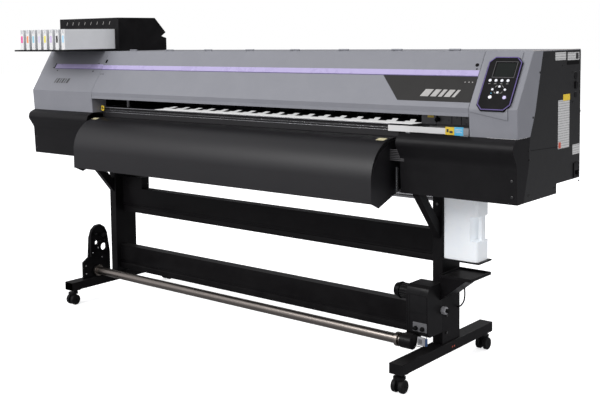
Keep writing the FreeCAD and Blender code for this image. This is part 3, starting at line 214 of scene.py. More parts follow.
def plate(bm, outline, thickness, matrix=None):
    """A flat plate from an outline in X and Y, thick along +Z."""
    place = matrix if matrix is not None else Matrix()
    verts = [bm.verts.new(place @ Vector((x, y, 0))) for x, y in outline]
    face = bm.faces.new(verts)
    grown = bmesh.ops.extrude_face_region(bm, geom=[face])
    top = [g for g in grown["geom"] if isinstance(g, bmesh.types.BMVert)]
    shift = place.to_3x3() @ Vector((0, 0, thickness))
    bmesh.ops.translate(bm, verts=top, vec=shift)
    faces = {f for v in verts + top for f in v.link_faces}
    bmesh.ops.recalc_face_normals(bm, faces=list(faces))
    return list(faces)


def rounded(width, height, radius, steps=4):
    """A rectangle's outline with round corners, centred."""
    points = []
    for i, (sx, sy) in enumerate(((1, 1), (-1, 1), (-1, -1), (1, -1))):
        for k in range(steps + 1):
            angle = (i + k / steps) * math.pi / 2
            x = sx * (width / 2 - radius) + radius * math.cos(angle)
            y = sy * (height / 2 - radius) + radius * math.sin(angle)
            points.append((x, y))
    return points


def label(name, matrix, width, height, material, radius=1.5 * MM,
          thickness=0.4 * MM, body="frame"):
    """A thin sticker on a flat frame."""
    bm = bmesh.new()
    plate(bm, rounded(width, height, radius), thickness, matrix)
    return piece(bm, name, material, body)


# --- effects: node groups that several finishes share --------------------

def effect(name, inputs, outputs):
    """A new shader node group with its sockets; returns tree, ins, outs."""
    tree = bpy.data.node_groups.new(name, "ShaderNodeTree")
    for label_, kind, value in inputs:
        item = tree.interface.new_socket(name=label_, in_out="INPUT",
                                         socket_type="NodeSocket" + kind)
        item.default_value = value
    for label_, kind in outputs:
        tree.interface.new_socket(name=label_, in_out="OUTPUT",
                                  socket_type="NodeSocket" + kind)
    ins = tree.nodes.new("NodeGroupInput").outputs
    outs = tree.nodes.new("NodeGroupOutput").inputs
    return tree, ins, outs


def node(tree, kind, **settings):
    """Add a shader node and set its attributes."""
    made = tree.nodes.new("ShaderNode" + kind)
    for key, value in settings.items():
        setattr(made, key, value)
    return made


def put(made, socket, value):
    """Set the value of one socket of a node."""
    made.inputs[socket].default_value = value


def stretched(tree, source, x, y, z):
    """Object coordinates with a pattern stretched along some axes."""
    mapping = node(tree, "Mapping")
    put(mapping, "Scale", (x, y, z))
    tree.links.new(source, mapping.inputs["Vector"])
    return mapping.outputs["Vector"]


def grain_effect():
    """Fine moulded or powder-coated grain, as a height."""
    tree, ins, outs = effect(
        "fine grain", [("Vector", "Vector", (0, 0, 0)),
                       ("Scale", "Float", 900.0)], [("Height", "Float")])
    noise = node(tree, "TexNoise")
    put(noise, "Detail", 2.5)
    put(noise, "Roughness", 0.62)
    tree.links.new(ins["Vector"], noise.inputs["Vector"])
    tree.links.new(ins["Scale"], noise.inputs["Scale"])
    tree.links.new(noise.outputs["Fac"], outs["Height"])
    return tree


def handling_effect():
    """Soft smudges from hands and cloths, from 0 to 1."""
    tree, ins, outs = effect(
        "handling", [("Vector", "Vector", (0, 0, 0)),
                     ("Scale", "Float", 9.0)], [("Mask", "Float")])
    broad = node(tree, "TexNoise")
    put(broad, "Detail", 6.0)
    put(broad, "Roughness", 0.7)
    put(broad, "Distortion", 0.6)
    tree.links.new(ins["Vector"], broad.inputs["Vector"])
    tree.links.new(ins["Scale"], broad.inputs["Scale"])
    ramp = node(tree, "MapRange")
    put(ramp, "From Min", 0.36)
    put(ramp, "From Max", 0.68)
    tree.links.new(broad.outputs["Fac"], ramp.inputs["Value"])
    tree.links.new(ramp.outputs["Result"], outs["Mask"])
    return tree


def dust_effect():
    """A little dust on faces that look up."""
    tree, ins, outs = effect(
        "settled dust", [("Vector", "Vector", (0, 0, 0)),
                         ("Amount", "Float", 0.3)], [("Mask", "Float")])
    shape = node(tree, "NewGeometry")
    split = node(tree, "SeparateXYZ")
    tree.links.new(shape.outputs["Normal"], split.inputs["Vector"])
    up = node(tree, "MapRange")
    put(up, "From Min", 0.55)
    tree.links.new(split.outputs["Z"], up.inputs["Value"])
    noise = node(tree, "TexNoise")
    put(noise, "Scale", 60.0)
    put(noise, "Detail", 8.0)
    tree.links.new(ins["Vector"], noise.inputs["Vector"])
    patch = node(tree, "Math", operation="MULTIPLY")
    tree.links.new(up.outputs["Result"], patch.inputs[0])
    tree.links.new(noise.outputs["Fac"], patch.inputs[1])
    share = node(tree, "Math", operation="MULTIPLY")
    tree.links.new(patch.outputs["Value"], share.inputs[0])
    tree.links.new(ins["Amount"], share.inputs[1])
    tree.links.new(share.outputs["Value"], outs["Mask"])
    return tree


def brushing_effect():
    """Fine drawn lines: a height and a mask of streaks."""
    tree, ins, outs = effect(
        "drawn lines", [("Vector", "Vector", (0, 0, 0)),
                        ("Scale", "Float", 400.0)],
        [("Height", "Float"), ("Streaks", "Float")])
    fine = node(tree, "TexNoise")
    put(fine, "Detail", 3.0)
    broad = node(tree, "TexNoise")
    put(broad, "Detail", 4.0)
    half = node(tree, "Math", operation="MULTIPLY")
    half.inputs[1].default_value = 0.12
    for noise in (fine, broad):
        tree.links.new(ins["Vector"], noise.inputs["Vector"])
    tree.links.new(ins["Scale"], fine.inputs["Scale"])
    tree.links.new(ins["Scale"], half.inputs[0])
    tree.links.new(half.outputs["Value"], broad.inputs["Scale"])
    tree.links.new(fine.outputs["Fac"], outs["Height"])
    tree.links.new(broad.outputs["Fac"], outs["Streaks"])
    return tree


GRAIN = grain_effect()
HANDLING = handling_effect()
DUST = dust_effect()
BRUSHING = brushing_effect()


def shader(name):
    """A new material: its tree, its Principled shader and the coordinates."""
    mat = bpy.data.materials.new(name)
    mat.use_nodes = True
    tree = mat.node_tree
    bsdf = tree.nodes["Principled BSDF"]
    where = node(tree, "TexCoord").outputs["Object"]
    return mat, tree, bsdf, where


def use(tree, group, where, **values):
    """Place an effect in a material with its own values."""
    made = tree.nodes.new("ShaderNodeGroup")
    made.node_tree = group
    tree.links.new(where, made.inputs["Vector"])
    for key, value in values.items():
        put(made, key, value)
    return made.outputs


def mixed(tree, mask, first, second):
    """Mix two colours, or a colour and a socket, by a mask."""
    mix = node(tree, "Mix", data_type="RGBA")
    tree.links.new(mask, mix.inputs["Factor"])
    for value, socket in ((first, mix.inputs["A"]), (second, mix.inputs["B"])):
        if isinstance(value, bpy.types.NodeSocket):
            tree.links.new(value, socket)
        else:
            socket.default_value = (*value, 1)
    return mix.outputs["Result"]


def between(tree, mask, lowest, highest):
    """A number that runs with a mask."""
    ramp = node(tree, "MapRange")
    put(ramp, "To Min", lowest)
    put(ramp, "To Max", highest)
    tree.links.new(mask, ramp.inputs["Value"])
    return ramp.outputs["Result"]


def bumped(tree, bsdf, height, distance, strength=1.0):
    bump = node(tree, "Bump")
    put(bump, "Strength", strength)
    put(bump, "Distance", distance)
    tree.links.new(height, bump.inputs["Height"])
    tree.links.new(bump.outputs["Normal"], bsdf.inputs["Normal"])


DUST_COLOUR = (0.46, 0.44, 0.42)


def coated(name, colour, worn, rough=(0.35, 0.5), grain=900.0, depth=0.03,
           dust=0.12, coat=0.0, shine=0.5, scale=9.0):
    """Powder coat or moulded plastic: grain, smudges and a little dust."""
    mat, tree, bsdf, where = shader(name)
    smudge = use(tree, HANDLING, where, Scale=scale)["Mask"]
    tone = mixed(tree, smudge, colour, worn)
    dusty = use(tree, DUST, where, Amount=dust)["Mask"]
    tone = mixed(tree, dusty, tone, DUST_COLOUR)
    tree.links.new(tone, bsdf.inputs["Base Color"])
    tree.links.new(between(tree, smudge, *rough), bsdf.inputs["Roughness"])
    height = use(tree, GRAIN, where, Scale=grain)["Height"]
    bumped(tree, bsdf, height, depth * MM)
    put(bsdf, "Specular IOR Level", shine)
    put(bsdf, "Coat Weight", coat)
    put(bsdf, "Coat Roughness", 0.25)
    return mat


def drawn_metal(name, colour, streak, rough=(0.2, 0.34), along=(0.02, 1, 1),
                scale=700.0, depth=0.01):
    """Metal with fine lines drawn along one axis."""
    mat, tree, bsdf, where = shader(name)
    path = stretched(tree, where, *along)
    lines = use(tree, BRUSHING, path, Scale=scale)
    smudge = use(tree, HANDLING, where, Scale=5.0)["Mask"]
    tone = mixed(tree, lines["Streaks"], colour, streak)
    tree.links.new(tone, bsdf.inputs["Base Color"])
    tree.links.new(between(tree, smudge, *rough), bsdf.inputs["Roughness"])
    bumped(tree, bsdf, lines["Height"], depth * MM)
    put(bsdf, "Metallic", 1.0)
    return mat


def printed(name, colour, faded, rough=(0.28, 0.45)):
    """Printed film: an even colour with a faint mottle."""
    mat, tree, bsdf, where = shader(name)
    patch = use(tree, HANDLING, where, Scale=40.0)["Mask"]
    tone = mixed(tree, patch, colour, faded)
    tree.links.new(tone, bsdf.inputs["Base Color"])
    tree.links.new(between(tree, patch, *rough), bsdf.inputs["Roughness"])
    height = use(tree, GRAIN, where, Scale=1500.0)["Height"]
    bumped(tree, bsdf, height, 0.01 * MM)
    return mat


def bottle_plastic_with_painted_glow():
    """Cloudy polyethylene that lets light through, with a faint painted glow
    from its emission.
    """
    mat, tree, bsdf, where = shader("cloudy bottle plastic painted glow")
    patch = use(tree, HANDLING, where, Scale=14.0)["Mask"]
    tone = mixed(tree, patch, (0.80, 0.83, 0.85), (0.76, 0.79, 0.815))
    tree.links.new(tone, bsdf.inputs["Base Color"])
    tree.links.new(between(tree, patch, 0.36, 0.5), bsdf.inputs["Roughness"])
    height = use(tree, GRAIN, where, Scale=120.0)["Height"]
    bumped(tree, bsdf, height, 0.12 * MM)
    put(bsdf, "Subsurface Weight", 0.35)
    put(bsdf, "Subsurface Radius", (0.05, 0.055, 0.06))
    put(bsdf, "Subsurface Scale", 0.6)
    # Painted glow: a faint emission brightens the bottle though it is no lamp.
    put(bsdf, "Emission Color", (0.86, 0.89, 0.91, 1))
    put(bsdf, "Emission Strength", 0.2)
    return mat


def film_with_painted_glow():
    """The pale film on the platen, with a painted glow: its emission stands in
    for the bright slot, though it is no lamp.
    """
    mat, tree, bsdf, where = shader("platen film painted glow")
    patch = use(tree, HANDLING, where, Scale=20.0)["Mask"]
    tone = mixed(tree, patch, (0.86, 0.86, 0.86), (0.80, 0.80, 0.80))
    tree.links.new(tone, bsdf.inputs["Base Color"])
    tree.links.new(tone, bsdf.inputs["Emission Color"])
    tree.links.new(between(tree, patch, 0.3, 0.4), bsdf.inputs["Roughness"])
    # Painted glow: the emission makes the film shine though no lamp lights it.
    put(bsdf, "Emission Strength", 0.75)
    return mat


def display_glass():
    """The dark face of the display, with a faint grid of cells."""
    mat, tree, bsdf, where = shader("display glass")
    cells = node(tree, "TexChecker")
    put(cells, "Scale", 1600.0)
    tree.links.new(where, cells.inputs["Vector"])
    tone = mixed(tree, cells.outputs["Fac"], (0.010, 0.012, 0.011),
                 (0.014, 0.016, 0.015))
    tree.links.new(tone, bsdf.inputs["Base Color"])
    smudge = use(tree, HANDLING, where, Scale=30.0)["Mask"]
    tree.links.new(between(tree, smudge, 0.06, 0.16),
                   bsdf.inputs["Roughness"])
    put(bsdf, "Specular IOR Level", 0.12)
    return mat


def paper_label():
    """A white data sticker: rows of grey dashes that read as nothing."""
    mat, tree, bsdf, where = shader("data sticker")
    rows = stretched(tree, where, 1, 260, 330)
    dashes = node(tree, "TexNoise")
    put(dashes, "Scale", 1.0)
    put(dashes, "Detail", 1.0)
    tree.links.new(rows, dashes.inputs["Vector"])
    wave = node(tree, "TexWave", bands_direction="Z")
    put(wave, "Scale", 34.0)
    tree.links.new(where, wave.inputs["Vector"])
    both = node(tree, "Math", operation="MULTIPLY")
    tree.links.new(wave.outputs["Fac"], both.inputs[0])
    tree.links.new(dashes.outputs["Fac"], both.inputs[1])
    mask = node(tree, "MapRange")
    put(mask, "From Min", 0.30)
    put(mask, "From Max", 0.42)
    tree.links.new(both.outputs["Value"], mask.inputs["Value"])
    tone = mixed(tree, mask.outputs["Result"], (0.60, 0.60, 0.59),
                 (0.36, 0.36, 0.36))
    tree.links.new(tone, bsdf.inputs["Base Color"])
    patch = use(tree, HANDLING, where, Scale=30.0)["Mask"]
    tree.links.new(between(tree, patch, 0.35, 0.5), bsdf.inputs["Roughness"])
    return mat


COVER_GREY = coated("cover grey", (0.212, 0.216, 0.238),
                    (0.226, 0.230, 0.252), rough=(0.44, 0.52), grain=1400,
                    depth=0.02, dust=0.04, shine=0.35)
PANEL_BLACK = coated("panel black", (0.0065, 0.0062, 0.0068),
                     (0.0095, 0.0090, 0.0098), rough=(0.40, 0.50),
                     grain=1300, depth=0.03, dust=0.02, shine=0.13)
SIDE_BLACK = coated("side panel", (0.018, 0.018, 0.0185),
                    (0.022, 0.022, 0.0225), rough=(0.42, 0.52), grain=1300,
                    depth=0.03, dust=0.02, shine=0.22)
FRAME_BLACK = coated("powder-coated steel", (0.0045, 0.0040, 0.0045),
                     (0.0075, 0.0070, 0.0075), rough=(0.34, 0.46),
                     grain=1100, depth=0.04, dust=0.015, shine=0.10)
APRON_BLACK = coated("apron paint", (0.0050, 0.0045, 0.0056),
                     (0.0062, 0.0056, 0.0068), rough=(0.46, 0.50),
                     grain=1500, depth=0.015, dust=0.0, shine=0.42,
                     scale=3.0)
SATIN_BLACK = coated("satin black plastic", (0.0050, 0.0048, 0.0052),
                     (0.0085, 0.0080, 0.0086), rough=(0.28, 0.42),
                     depth=0.02, dust=0.02, shine=0.12)
# Black for small black parts, and painted shade for slots, hollows and the
# dark inside of the machine.
BLACK_AND_PAINTED_SHADE = coated("black parts and painted shade", (0.0025, 0.0025, 0.0025),
                    (0.0040, 0.0040, 0.0040), rough=(0.5, 0.65), dust=0.0,
                    shine=0.1)
STATION_GREY = coated("station grey", (0.070, 0.068, 0.070),
                      (0.085, 0.083, 0.085), rough=(0.4, 0.55), dust=0.03,
                      shine=0.25)
RUBBER = coated("wheel rubber", (0.0055, 0.0055, 0.0060),
                (0.009, 0.009, 0.009), rough=(0.45, 0.6), grain=500,
                depth=0.05, dust=0.03, shine=0.14)
LILAC = coated("lilac stripe", (0.40, 0.35, 0.57), (0.43, 0.38, 0.60),
               rough=(0.25, 0.35), grain=1500, depth=0.01, dust=0.0)
# Painted shadow: a dark line under the stripe's lower edge.
STRIPE_SHADOW = coated("stripe painted shadow", (0.10, 0.08, 0.20),
                       (0.12, 0.10, 0.23), dust=0.0)
PLATE_DARK = coated("name plate", (0.021, 0.020, 0.019),
                    (0.024, 0.023, 0.022), rough=(0.4, 0.5), grain=1500,
                    depth=0.02, dust=0.0, shine=0.2)
BEZEL_PURPLE = coated("bezel edge", (0.090, 0.064, 0.205),
                      (0.105, 0.075, 0.235), rough=(0.3, 0.4), dust=0.0)
KEY_WHITE = coated("white key", (0.82, 0.82, 0.85), (0.76, 0.76, 0.80),
                   rough=(0.35, 0.45), grain=1500, depth=0.01, dust=0.02)
KEY_LILAC = coated("lilac key", (0.66, 0.60, 0.86), (0.60, 0.54, 0.82),
                   rough=(0.35, 0.45), grain=1500, depth=0.01, dust=0.02)
WHITE_PLASTIC = coated("white plastic", (0.74, 0.74, 0.73),
                       (0.70, 0.70, 0.69), rough=(0.4, 0.5), dust=0.0)
# Painted shade: a slightly darker copy of the cartridge white, for the faces
# that look along X.
CARTRIDGE_SHADED_SIDE = coated("cartridge side painted shade", (0.70, 0.71, 0.72),
                        (0.66, 0.67, 0.68), rough=(0.4, 0.5), dust=0.0)
CREAM_LABEL = printed("cream sticker", (0.72, 0.66, 0.42),
                      (0.66, 0.60, 0.36))
YELLOW = printed("yellow sticker", (0.86, 0.62, 0.05), (0.80, 0.56, 0.04))
CYAN = printed("cyan sticker", (0.10, 0.50, 0.80), (0.14, 0.56, 0.84))
RED_MARK = printed("red mark", (0.60, 0.10, 0.06), (0.54, 0.09, 0.05))
DARK_PRINT = printed("dark print", (0.03, 0.03, 0.03), (0.05, 0.05, 0.05))
SILVER_PRINT = printed("silver print", (0.36, 0.35, 0.335),
                       (0.42, 0.41, 0.395))
BLUE_PART = coated("blue plastic", (0.02, 0.05, 0.13), (0.03, 0.07, 0.17))
GREY_PART = coated("grey plastic", (0.26, 0.26, 0.27), (0.31, 0.31, 0.32))
SENSOR_GREY = coated("sensor grey", (0.10, 0.10, 0.105), (0.13, 0.13, 0.135))
ALUMINIUM = drawn_metal("drawn aluminium", (0.55, 0.55, 0.56),
                        (0.66, 0.66, 0.67))
BEAM_METAL = drawn_metal("beam aluminium", (0.26, 0.26, 0.27),
                         (0.31, 0.31, 0.32), rough=(0.42, 0.50),
                         along=(0.004, 1, 1), scale=260.0, depth=0.003)
TUBE_METAL = drawn_metal("anodised tube", (0.20, 0.175, 0.155),
                         (0.27, 0.245, 0.225), rough=(0.26, 0.34),
                         along=(0.004, 1, 1), scale=260.0, depth=0.004)
ZINC = drawn_metal("zinc plate", (0.55, 0.57, 0.58), (0.68, 0.70, 0.71),
                   along=(1, 1, 0.05), scale=300.0)
SCREW_STEEL = drawn_metal("black screw", (0.06, 0.06, 0.06),
                          (0.10, 0.10, 0.10), along=(1, 1, 1), scale=900.0)
BRIGHT_STEEL = drawn_metal("bright steel", (0.62, 0.62, 0.62),
                           (0.74, 0.74, 0.74), along=(0.05, 1, 1))
DARK_STEEL = drawn_metal("grit steel", (0.035, 0.035, 0.036),
                         (0.055, 0.055, 0.056), rough=(0.45, 0.6))
BOTTLE_PAINTED_GLOW = bottle_plastic_with_painted_glow()
DISPLAY = display_glass()
FILM_PAINTED_GLOW = film_with_painted_glow()
DATA_LABEL = paper_label()
INKS = [("magenta", (0.80, 0.03, 0.30)), ("orange", (0.90, 0.32, 0.12)),
        ("light blue", (0.30, 0.62, 0.74)), ("pale lilac", (0.66, 0.62, 0.78)),
        ("yellow", (0.86, 0.76, 0.12)), ("lilac", (0.62, 0.50, 0.76)),
        ("black", (0.03, 0.03, 0.03)), ("light cyan", (0.40, 0.68, 0.86))]
INK_LABELS = [printed("label " + name, tone, [c * 0.85 for c in tone])
              for name, tone in INKS]
BEIGE = printed("beige trim", (0.52, 0.46, 0.40), (0.46, 0.41, 0.36))


# --- floor, light and camera ---------------------------------------------

def studio_floor():
    mat, tree, bsdf, where = shader("studio floor")
    patch = use(tree, HANDLING, where, Scale=0.6)["Mask"]
    pale = mixed(tree, patch, (0.90, 0.90, 0.90), (0.92, 0.92, 0.92))
    seen = node(tree, "LightPath").outputs["Is Camera Ray"]
    tree.links.new(mixed(tree, seen, (0.34, 0.34, 0.35), pale),
                   bsdf.inputs["Base Color"])
    tree.links.new(between(tree, seen, 0.0, 0.62),
                   bsdf.inputs["Emission Strength"])
    put(bsdf, "Roughness", 0.9)
    put(bsdf, "Specular IOR Level", 0.1)
    put(bsdf, "Emission Color", (1, 1, 1, 1))
    bm = bmesh.new()
    bmesh.ops.create_grid(bm, x_segments=1, y_segments=1, size=30)
    mesh = bpy.data.meshes.new("floor")
    bm.to_mesh(mesh)
    bm.free()
    mesh.materials.append(mat)
    floor = bpy.data.objects.new("floor", mesh)
    bpy.context.scene.collection.objects.link(floor)
    return floor


def studio_world():
    """A white room: plain to the camera, softly graded as a light."""
    world = bpy.data.worlds.new("studio")
    bpy.context.scene.world = world
    world.use_nodes = True
    tree = world.node_tree
    back = tree.nodes["Background"]
    put(back, "Strength", 1.0)
    where = node(tree, "TexCoord").outputs["Generated"]
    split = node(tree, "SeparateXYZ")
    tree.links.new(where, split.inputs["Vector"])
    ahead = node(tree, "MapRange", interpolation_type="SMOOTHSTEP")
    put(ahead, "From Min", 0.75)
    put(ahead, "From Max", -0.55)
    tree.links.new(split.outputs["Y"], ahead.inputs["Value"])
    around = mixed(tree, ahead.outputs["Result"], (0.06, 0.06, 0.065),
                   (1.0, 0.99, 1.04))
    rise = node(tree, "MapRange", interpolation_type="SMOOTHSTEP")
    put(rise, "From Min", 0.05)
    put(rise, "From Max", 0.7)
    tree.links.new(split.outputs["Z"], rise.inputs["Value"])
    graded = mixed(tree, rise.outputs["Result"], around, (0.72, 0.72, 0.74))
    path = node(tree, "LightPath")
    mix = node(tree, "Mix", data_type="RGBA")
    tree.links.new(path.outputs["Is Camera Ray"], mix.inputs["Factor"])
    tree.links.new(graded, mix.inputs["A"])
    put(mix, "B", (1.0, 1.0, 1.0, 1))
    tree.links.new(mix.outputs["Result"], back.inputs["Color"])


def soft_light(name, place, aim, size, watts, tone=(1, 1, 1)):
    data = bpy.data.lights.new(name, "AREA")
    data.shape = "RECTANGLE"
    data.size, data.size_y = size
    data.energy = watts
    data.color = tone
    obj = bpy.data.objects.new(name, data)
    obj.location = place
    way = Vector(aim) - Vector(place)
    obj.rotation_euler = way.to_track_quat("-Z", "Y").to_euler()
    bpy.context.scene.collection.objects.link(obj)


EYE = (2.8762, -3.2471, 1.3355)
YAW, TILT, ROLL, LENS = 40.224, -4.624, -0.748, 57.353


def studio_camera():
    data = bpy.data.cameras.new("camera")
    data.sensor_width = 36.0
    data.lens = LENS
    data.shift_x = 0.03
    data.shift_y = -0.15
    data.clip_end = 200.0
    obj = bpy.data.objects.new("camera", data)
    turn = Matrix.Rotation(math.radians(YAW), 4, "Z")
    turn = turn @ Matrix.Rotation(math.radians(90 + TILT), 4, "X")
    turn = turn @ Matrix.Rotation(math.radians(ROLL), 4, "Z")
    obj.matrix_world = Matrix.Translation(EYE) @ turn
    bpy.context.scene.collection.objects.link(obj)
    bpy.context.scene.camera = obj


studio_floor()
studio_world()
soft_light("key", (-1.5, -5.5, 4.2), (0, 0, 0.9), (4.5, 2.5), 265)
soft_light("side", (5.5, -0.5, 2.6), (0.8, 0, 0.9), (2.5, 2.5), 60)
soft_light("back", (1.0, 5.2, 4.6), (0, 0, 0.9), (3.5, 2.0), 110)
studio_camera()
bpy.context.scene.view_settings.view_transform = "Standard"


# --- the frame's own pieces, rounded and finished ------------------------

body_of = {name: body
           for body, names in frame["record"]["behaviour"]["bodies"].items()
           for name in names}
slot_of = {part["node"]: part["material_slot"]
           for part in frame["record"]["subparts"]}


def dressed(name, material, bevel=1.2 * MM, steps=2, smooth=38.0):
    return softened(name, material, bevel, steps, body_of[name],
                    smooth)


for name in ("foot_beams", "columns", "crossbars", "stand_brackets",
             "takeup_bracket"):
    dressed(name, FRAME_BLACK, 1.5 * MM)
dressed("stand_bolts", SCREW_STEEL, 0.5 * MM)
dressed("side_panels", SIDE_BLACK, 2 * MM, 3)
dressed("base_frame", STATION_GREY, 0.8 * MM)
dressed("media_apron", APRON_BLACK, 0.5 * MM)
dressed("rear_cover", PANEL_BLACK, 2 * MM)
dressed("top_cover", COVER_GREY, 1.5 * MM)
dressed("front_cover", COVER_GREY, 1.2 * MM)
dressed("ink_unit", SATIN_BLACK, 2 * MM, 3)
dressed("takeup_motor_box", SATIN_BLACK, 7 * MM, 4)
dressed("takeup_gear", SATIN_BLACK, 0.3 * MM)
dressed("takeup_tube", TUBE_METAL, 0.6 * MM)
dressed("clamp_knob", GREY_PART, 1 * MM)
dressed("supply_shaft", ALUMINIUM, 0.6 * MM)
dressed("cables", SATIN_BLACK, 0)
dressed("power_inlet", SATIN_BLACK, 0.8 * MM)
dressed("main_switch", SATIN_BLACK, 0.8 * MM)
dressed("carriage_beam", BEAM_METAL, 0.6 * MM)
dressed("carriage", SATIN_BLACK, 1.5 * MM)
dressed("cap_station", STATION_GREY, 0.8 * MM)
dressed("grit_shaft", DARK_STEEL, 0.4 * MM)
dressed("pinch_arms", SATIN_BLACK, 0.8 * MM)
dressed("pinch_rollers", RUBBER, 0.5 * MM)
dressed("clamp_lever", SATIN_BLACK, 1 * MM)
for name in sorted(nodes):
    if name.startswith("key_"):
        tone = KEY_LILAC if slot_of[name] == "key_lilac" else KEY_WHITE
        dressed(name, tone, 0.6 * MM)
    elif name.startswith("caster_wheels"):
        dressed(name, RUBBER, 3 * MM, 3)
    elif name.startswith("caster_fork"):
        dressed(name, SATIN_BLACK, 1.5 * MM)


# --- small parts that many places use ------------------------------------

def at(x, y, z):
    """A place in millimetres."""
    return Vector((x, y, z)) * MM


def bent(name, direction, reach=3.0):
    """A function that finds the outside of a node along a direction."""
    mesh = nodes[name].data
    tree = BVHTree.FromPolygons([v.co for v in mesh.vertices],
                                [p.vertices[:] for p in mesh.polygons])
    way = Vector(direction).normalized()

    def seat(point):
        place, normal, _, _ = tree.ray_cast(Vector(point) - way * reach, way)
        if normal.dot(way) > 0:
            normal = -normal
        return place, normal
    return seat


def screws(name, places, out, radius=3.2 * MM, material=None, body="frame",
           height=1.2 * MM, steps=14):
    """A row of socket-head screws in one piece."""
    bm = bmesh.new()
    profile = [(-0.3 * height, 0), (-0.3 * height, radius),
               (0.7 * height, radius), (height, 0.82 * radius),
               (height, 0.45 * radius), (0.35 * height, 0.4 * radius),
               (0.35 * height, 0)]
    for place in places:
        lathe(bm, profile,
              place, out, steps)
    return piece(bm, name, material or SCREW_STEEL, body)


def on_slope(name, outline, material, lift=0.0, thickness=0.8 * MM,
             body="frame", bevel=0.0):
    """A plate on the sloping front: outline in x and up the slope, in mm."""
    bm = bmesh.new()
    plate(bm, scaled(outline), thickness, slope_frame(0, 0, lift))
    return piece(bm, name, material, body, bevel, 2)


def oblong(x0, x1, up0, up1):
    return [(x0, up0), (x1, up0), (x1, up1), (x0, up1)]


def boxes(name, pairs, material, body="frame", bevel=0.6 * MM,
          steps=2):
    """Several rounded blocks in one piece, corners in millimetres."""
    bm = bmesh.new()
    for first, last in pairs:
        block(bm, at(*first), at(*last))
    return piece(bm, name, material, body, bevel, steps)


def ringed(bm, outline, width, thickness, matrix):
    """A flat ring that follows an outline."""
    verts = [bm.verts.new(matrix @ Vector((x, y, 0))) for x, y in outline]
    face = bm.faces.new(verts)
    bm.normal_update()
    ring = bmesh.ops.inset_individual(bm, faces=[face], thickness=width,
                                      use_even_offset=True)["faces"]
    bmesh.ops.delete(bm, geom=[face], context="FACES_ONLY")
    grown = bmesh.ops.extrude_face_region(bm, geom=ring)
    top = [g for g in grown["geom"] if isinstance(g, bmesh.types.BMVert)]
    bmesh.ops.translate(bm, verts=top,
                        vec=matrix.to_3x3() @ Vector((0, 0, thickness)))
    bmesh.ops.recalc_face_normals(bm, faces=bm.faces)


# --- front cover: stripe, name plate, lock -------------------------------

COVER_FIRST = low("front_cover").x / MM
COVER_LAST = high("front_cover").x / MM
STRIPE_FOOT, STRIPE_TOP = 132, 155

on_slope("cover_stripe", oblong(COVER_FIRST + 0.3, COVER_LAST - 0.3,
                                STRIPE_FOOT, STRIPE_TOP), LILAC,
         body="front_cover", thickness=1.0 * MM, bevel=0.3 * MM)
# A dark line under the cover stripe: painted shadow.
on_slope("cover_stripe_edge", oblong(COVER_FIRST + 0.3, COVER_LAST - 0.3,
                                     STRIPE_FOOT - 3, STRIPE_FOOT - 0.2),
         STRIPE_SHADOW, body="front_cover", thickness=0.7 * MM)
on_slope("left_stripe", oblong(-1284, -903.5, STRIPE_FOOT + 2, STRIPE_TOP + 4),
         LILAC, thickness=0.8 * MM, bevel=0.3 * MM)
# A dark line under the left stripe: painted shadow.
on_slope("left_stripe_edge", oblong(-1276, -903.5, STRIPE_FOOT - 1.5,
                                    STRIPE_FOOT + 1.8),
         STRIPE_SHADOW, thickness=0.6 * MM)
on_slope("left_stripe_end", [(-1294, STRIPE_FOOT + 2), (-1284.2,
                             STRIPE_FOOT + 2), (-1284.2, STRIPE_TOP + 7),
                             (-1290, STRIPE_TOP + 7)],
         BLACK_AND_PAINTED_SHADE, thickness=0.9 * MM)
on_slope("name_plate", [(893, 22.5), (1200.2, 22.5), (1200.2, 128.8),
                        (793, 128.8)], PLATE_DARK, body="front_cover",
         bevel=0.3 * MM)


def slanted_bars(name, first, foot, top, widths, gap, lean, material, body,
                 lift):
    """Plain slanted bars in a row."""
    bm = bmesh.new()
    x = first
    for width in widths:
        points = [(x, foot), (x + width, foot),
                  (x + width + lean, top), (x + lean, top)]
        plate(bm, scaled(points), 0.4 * MM,
              slope_frame(0, 0, lift))
        x += width + gap
    return piece(bm, name, material, body)


slanted_bars("plate_bars", 986, 42, 72, (34, 24, 16, 24, 12), 9, 17,
             SILVER_PRINT, "front_cover", 0.8 * MM)
slanted_bars("left_bars", -1236, 46, 74, (7, 13, 7, 13, 7, 15), 10, 9,
             DARK_PRINT, "frame", 0.05 * MM)

bm = bmesh.new()
for x, up in ((1156, 105), (1172, 105), (1186, 105)):
    turned(bm, [(0, 0), (0, 2.4), (0.5, 2.2), (0.5, 0)],
          slope_frame(x * MM, up * MM, 0.7 * MM).translation, OUT_SLOPE, 16)
piece(bm, "plate_dots", SILVER_PRINT, "front_cover")

bm = bmesh.new()
spot = slope_frame(1184 * MM, 177 * MM).translation
turned(bm, [(0, 0), (0, 7), (2, 7), (3, 6), (3, 3.4), (1.6, 3), (1.6, 0)],
      spot, OUT_SLOPE, 28)
block(bm, (-0.8 * MM, -2.6 * MM, 1.4 * MM), (0.8 * MM, 2.6 * MM, 2.2 * MM),
      slope_frame(1184 * MM, 177 * MM))
spot = slope_frame(1187 * MM, 160.5 * MM).translation
turned(bm, [(0, 0), (0, 3.2), (1.4, 3), (1.4, 0)],
      spot, OUT_SLOPE, 20)
piece(bm, "cover_lock", SATIN_BLACK, "front_cover")
bm = bmesh.new()
block(bm, (-5 * MM, -9 * MM, -0.2 * MM), (5 * MM, 9 * MM, 3 * MM),
      slope_frame(-889 * MM, 177 * MM))
block(bm, (-3 * MM, -3 * MM, 2.5 * MM), (3 * MM, 3 * MM, 5 * MM),
      slope_frame(-889 * MM, 177 * MM))
piece(bm, "cover_latch", SATIN_BLACK, "front_cover",
      bevel=0.8 * MM)

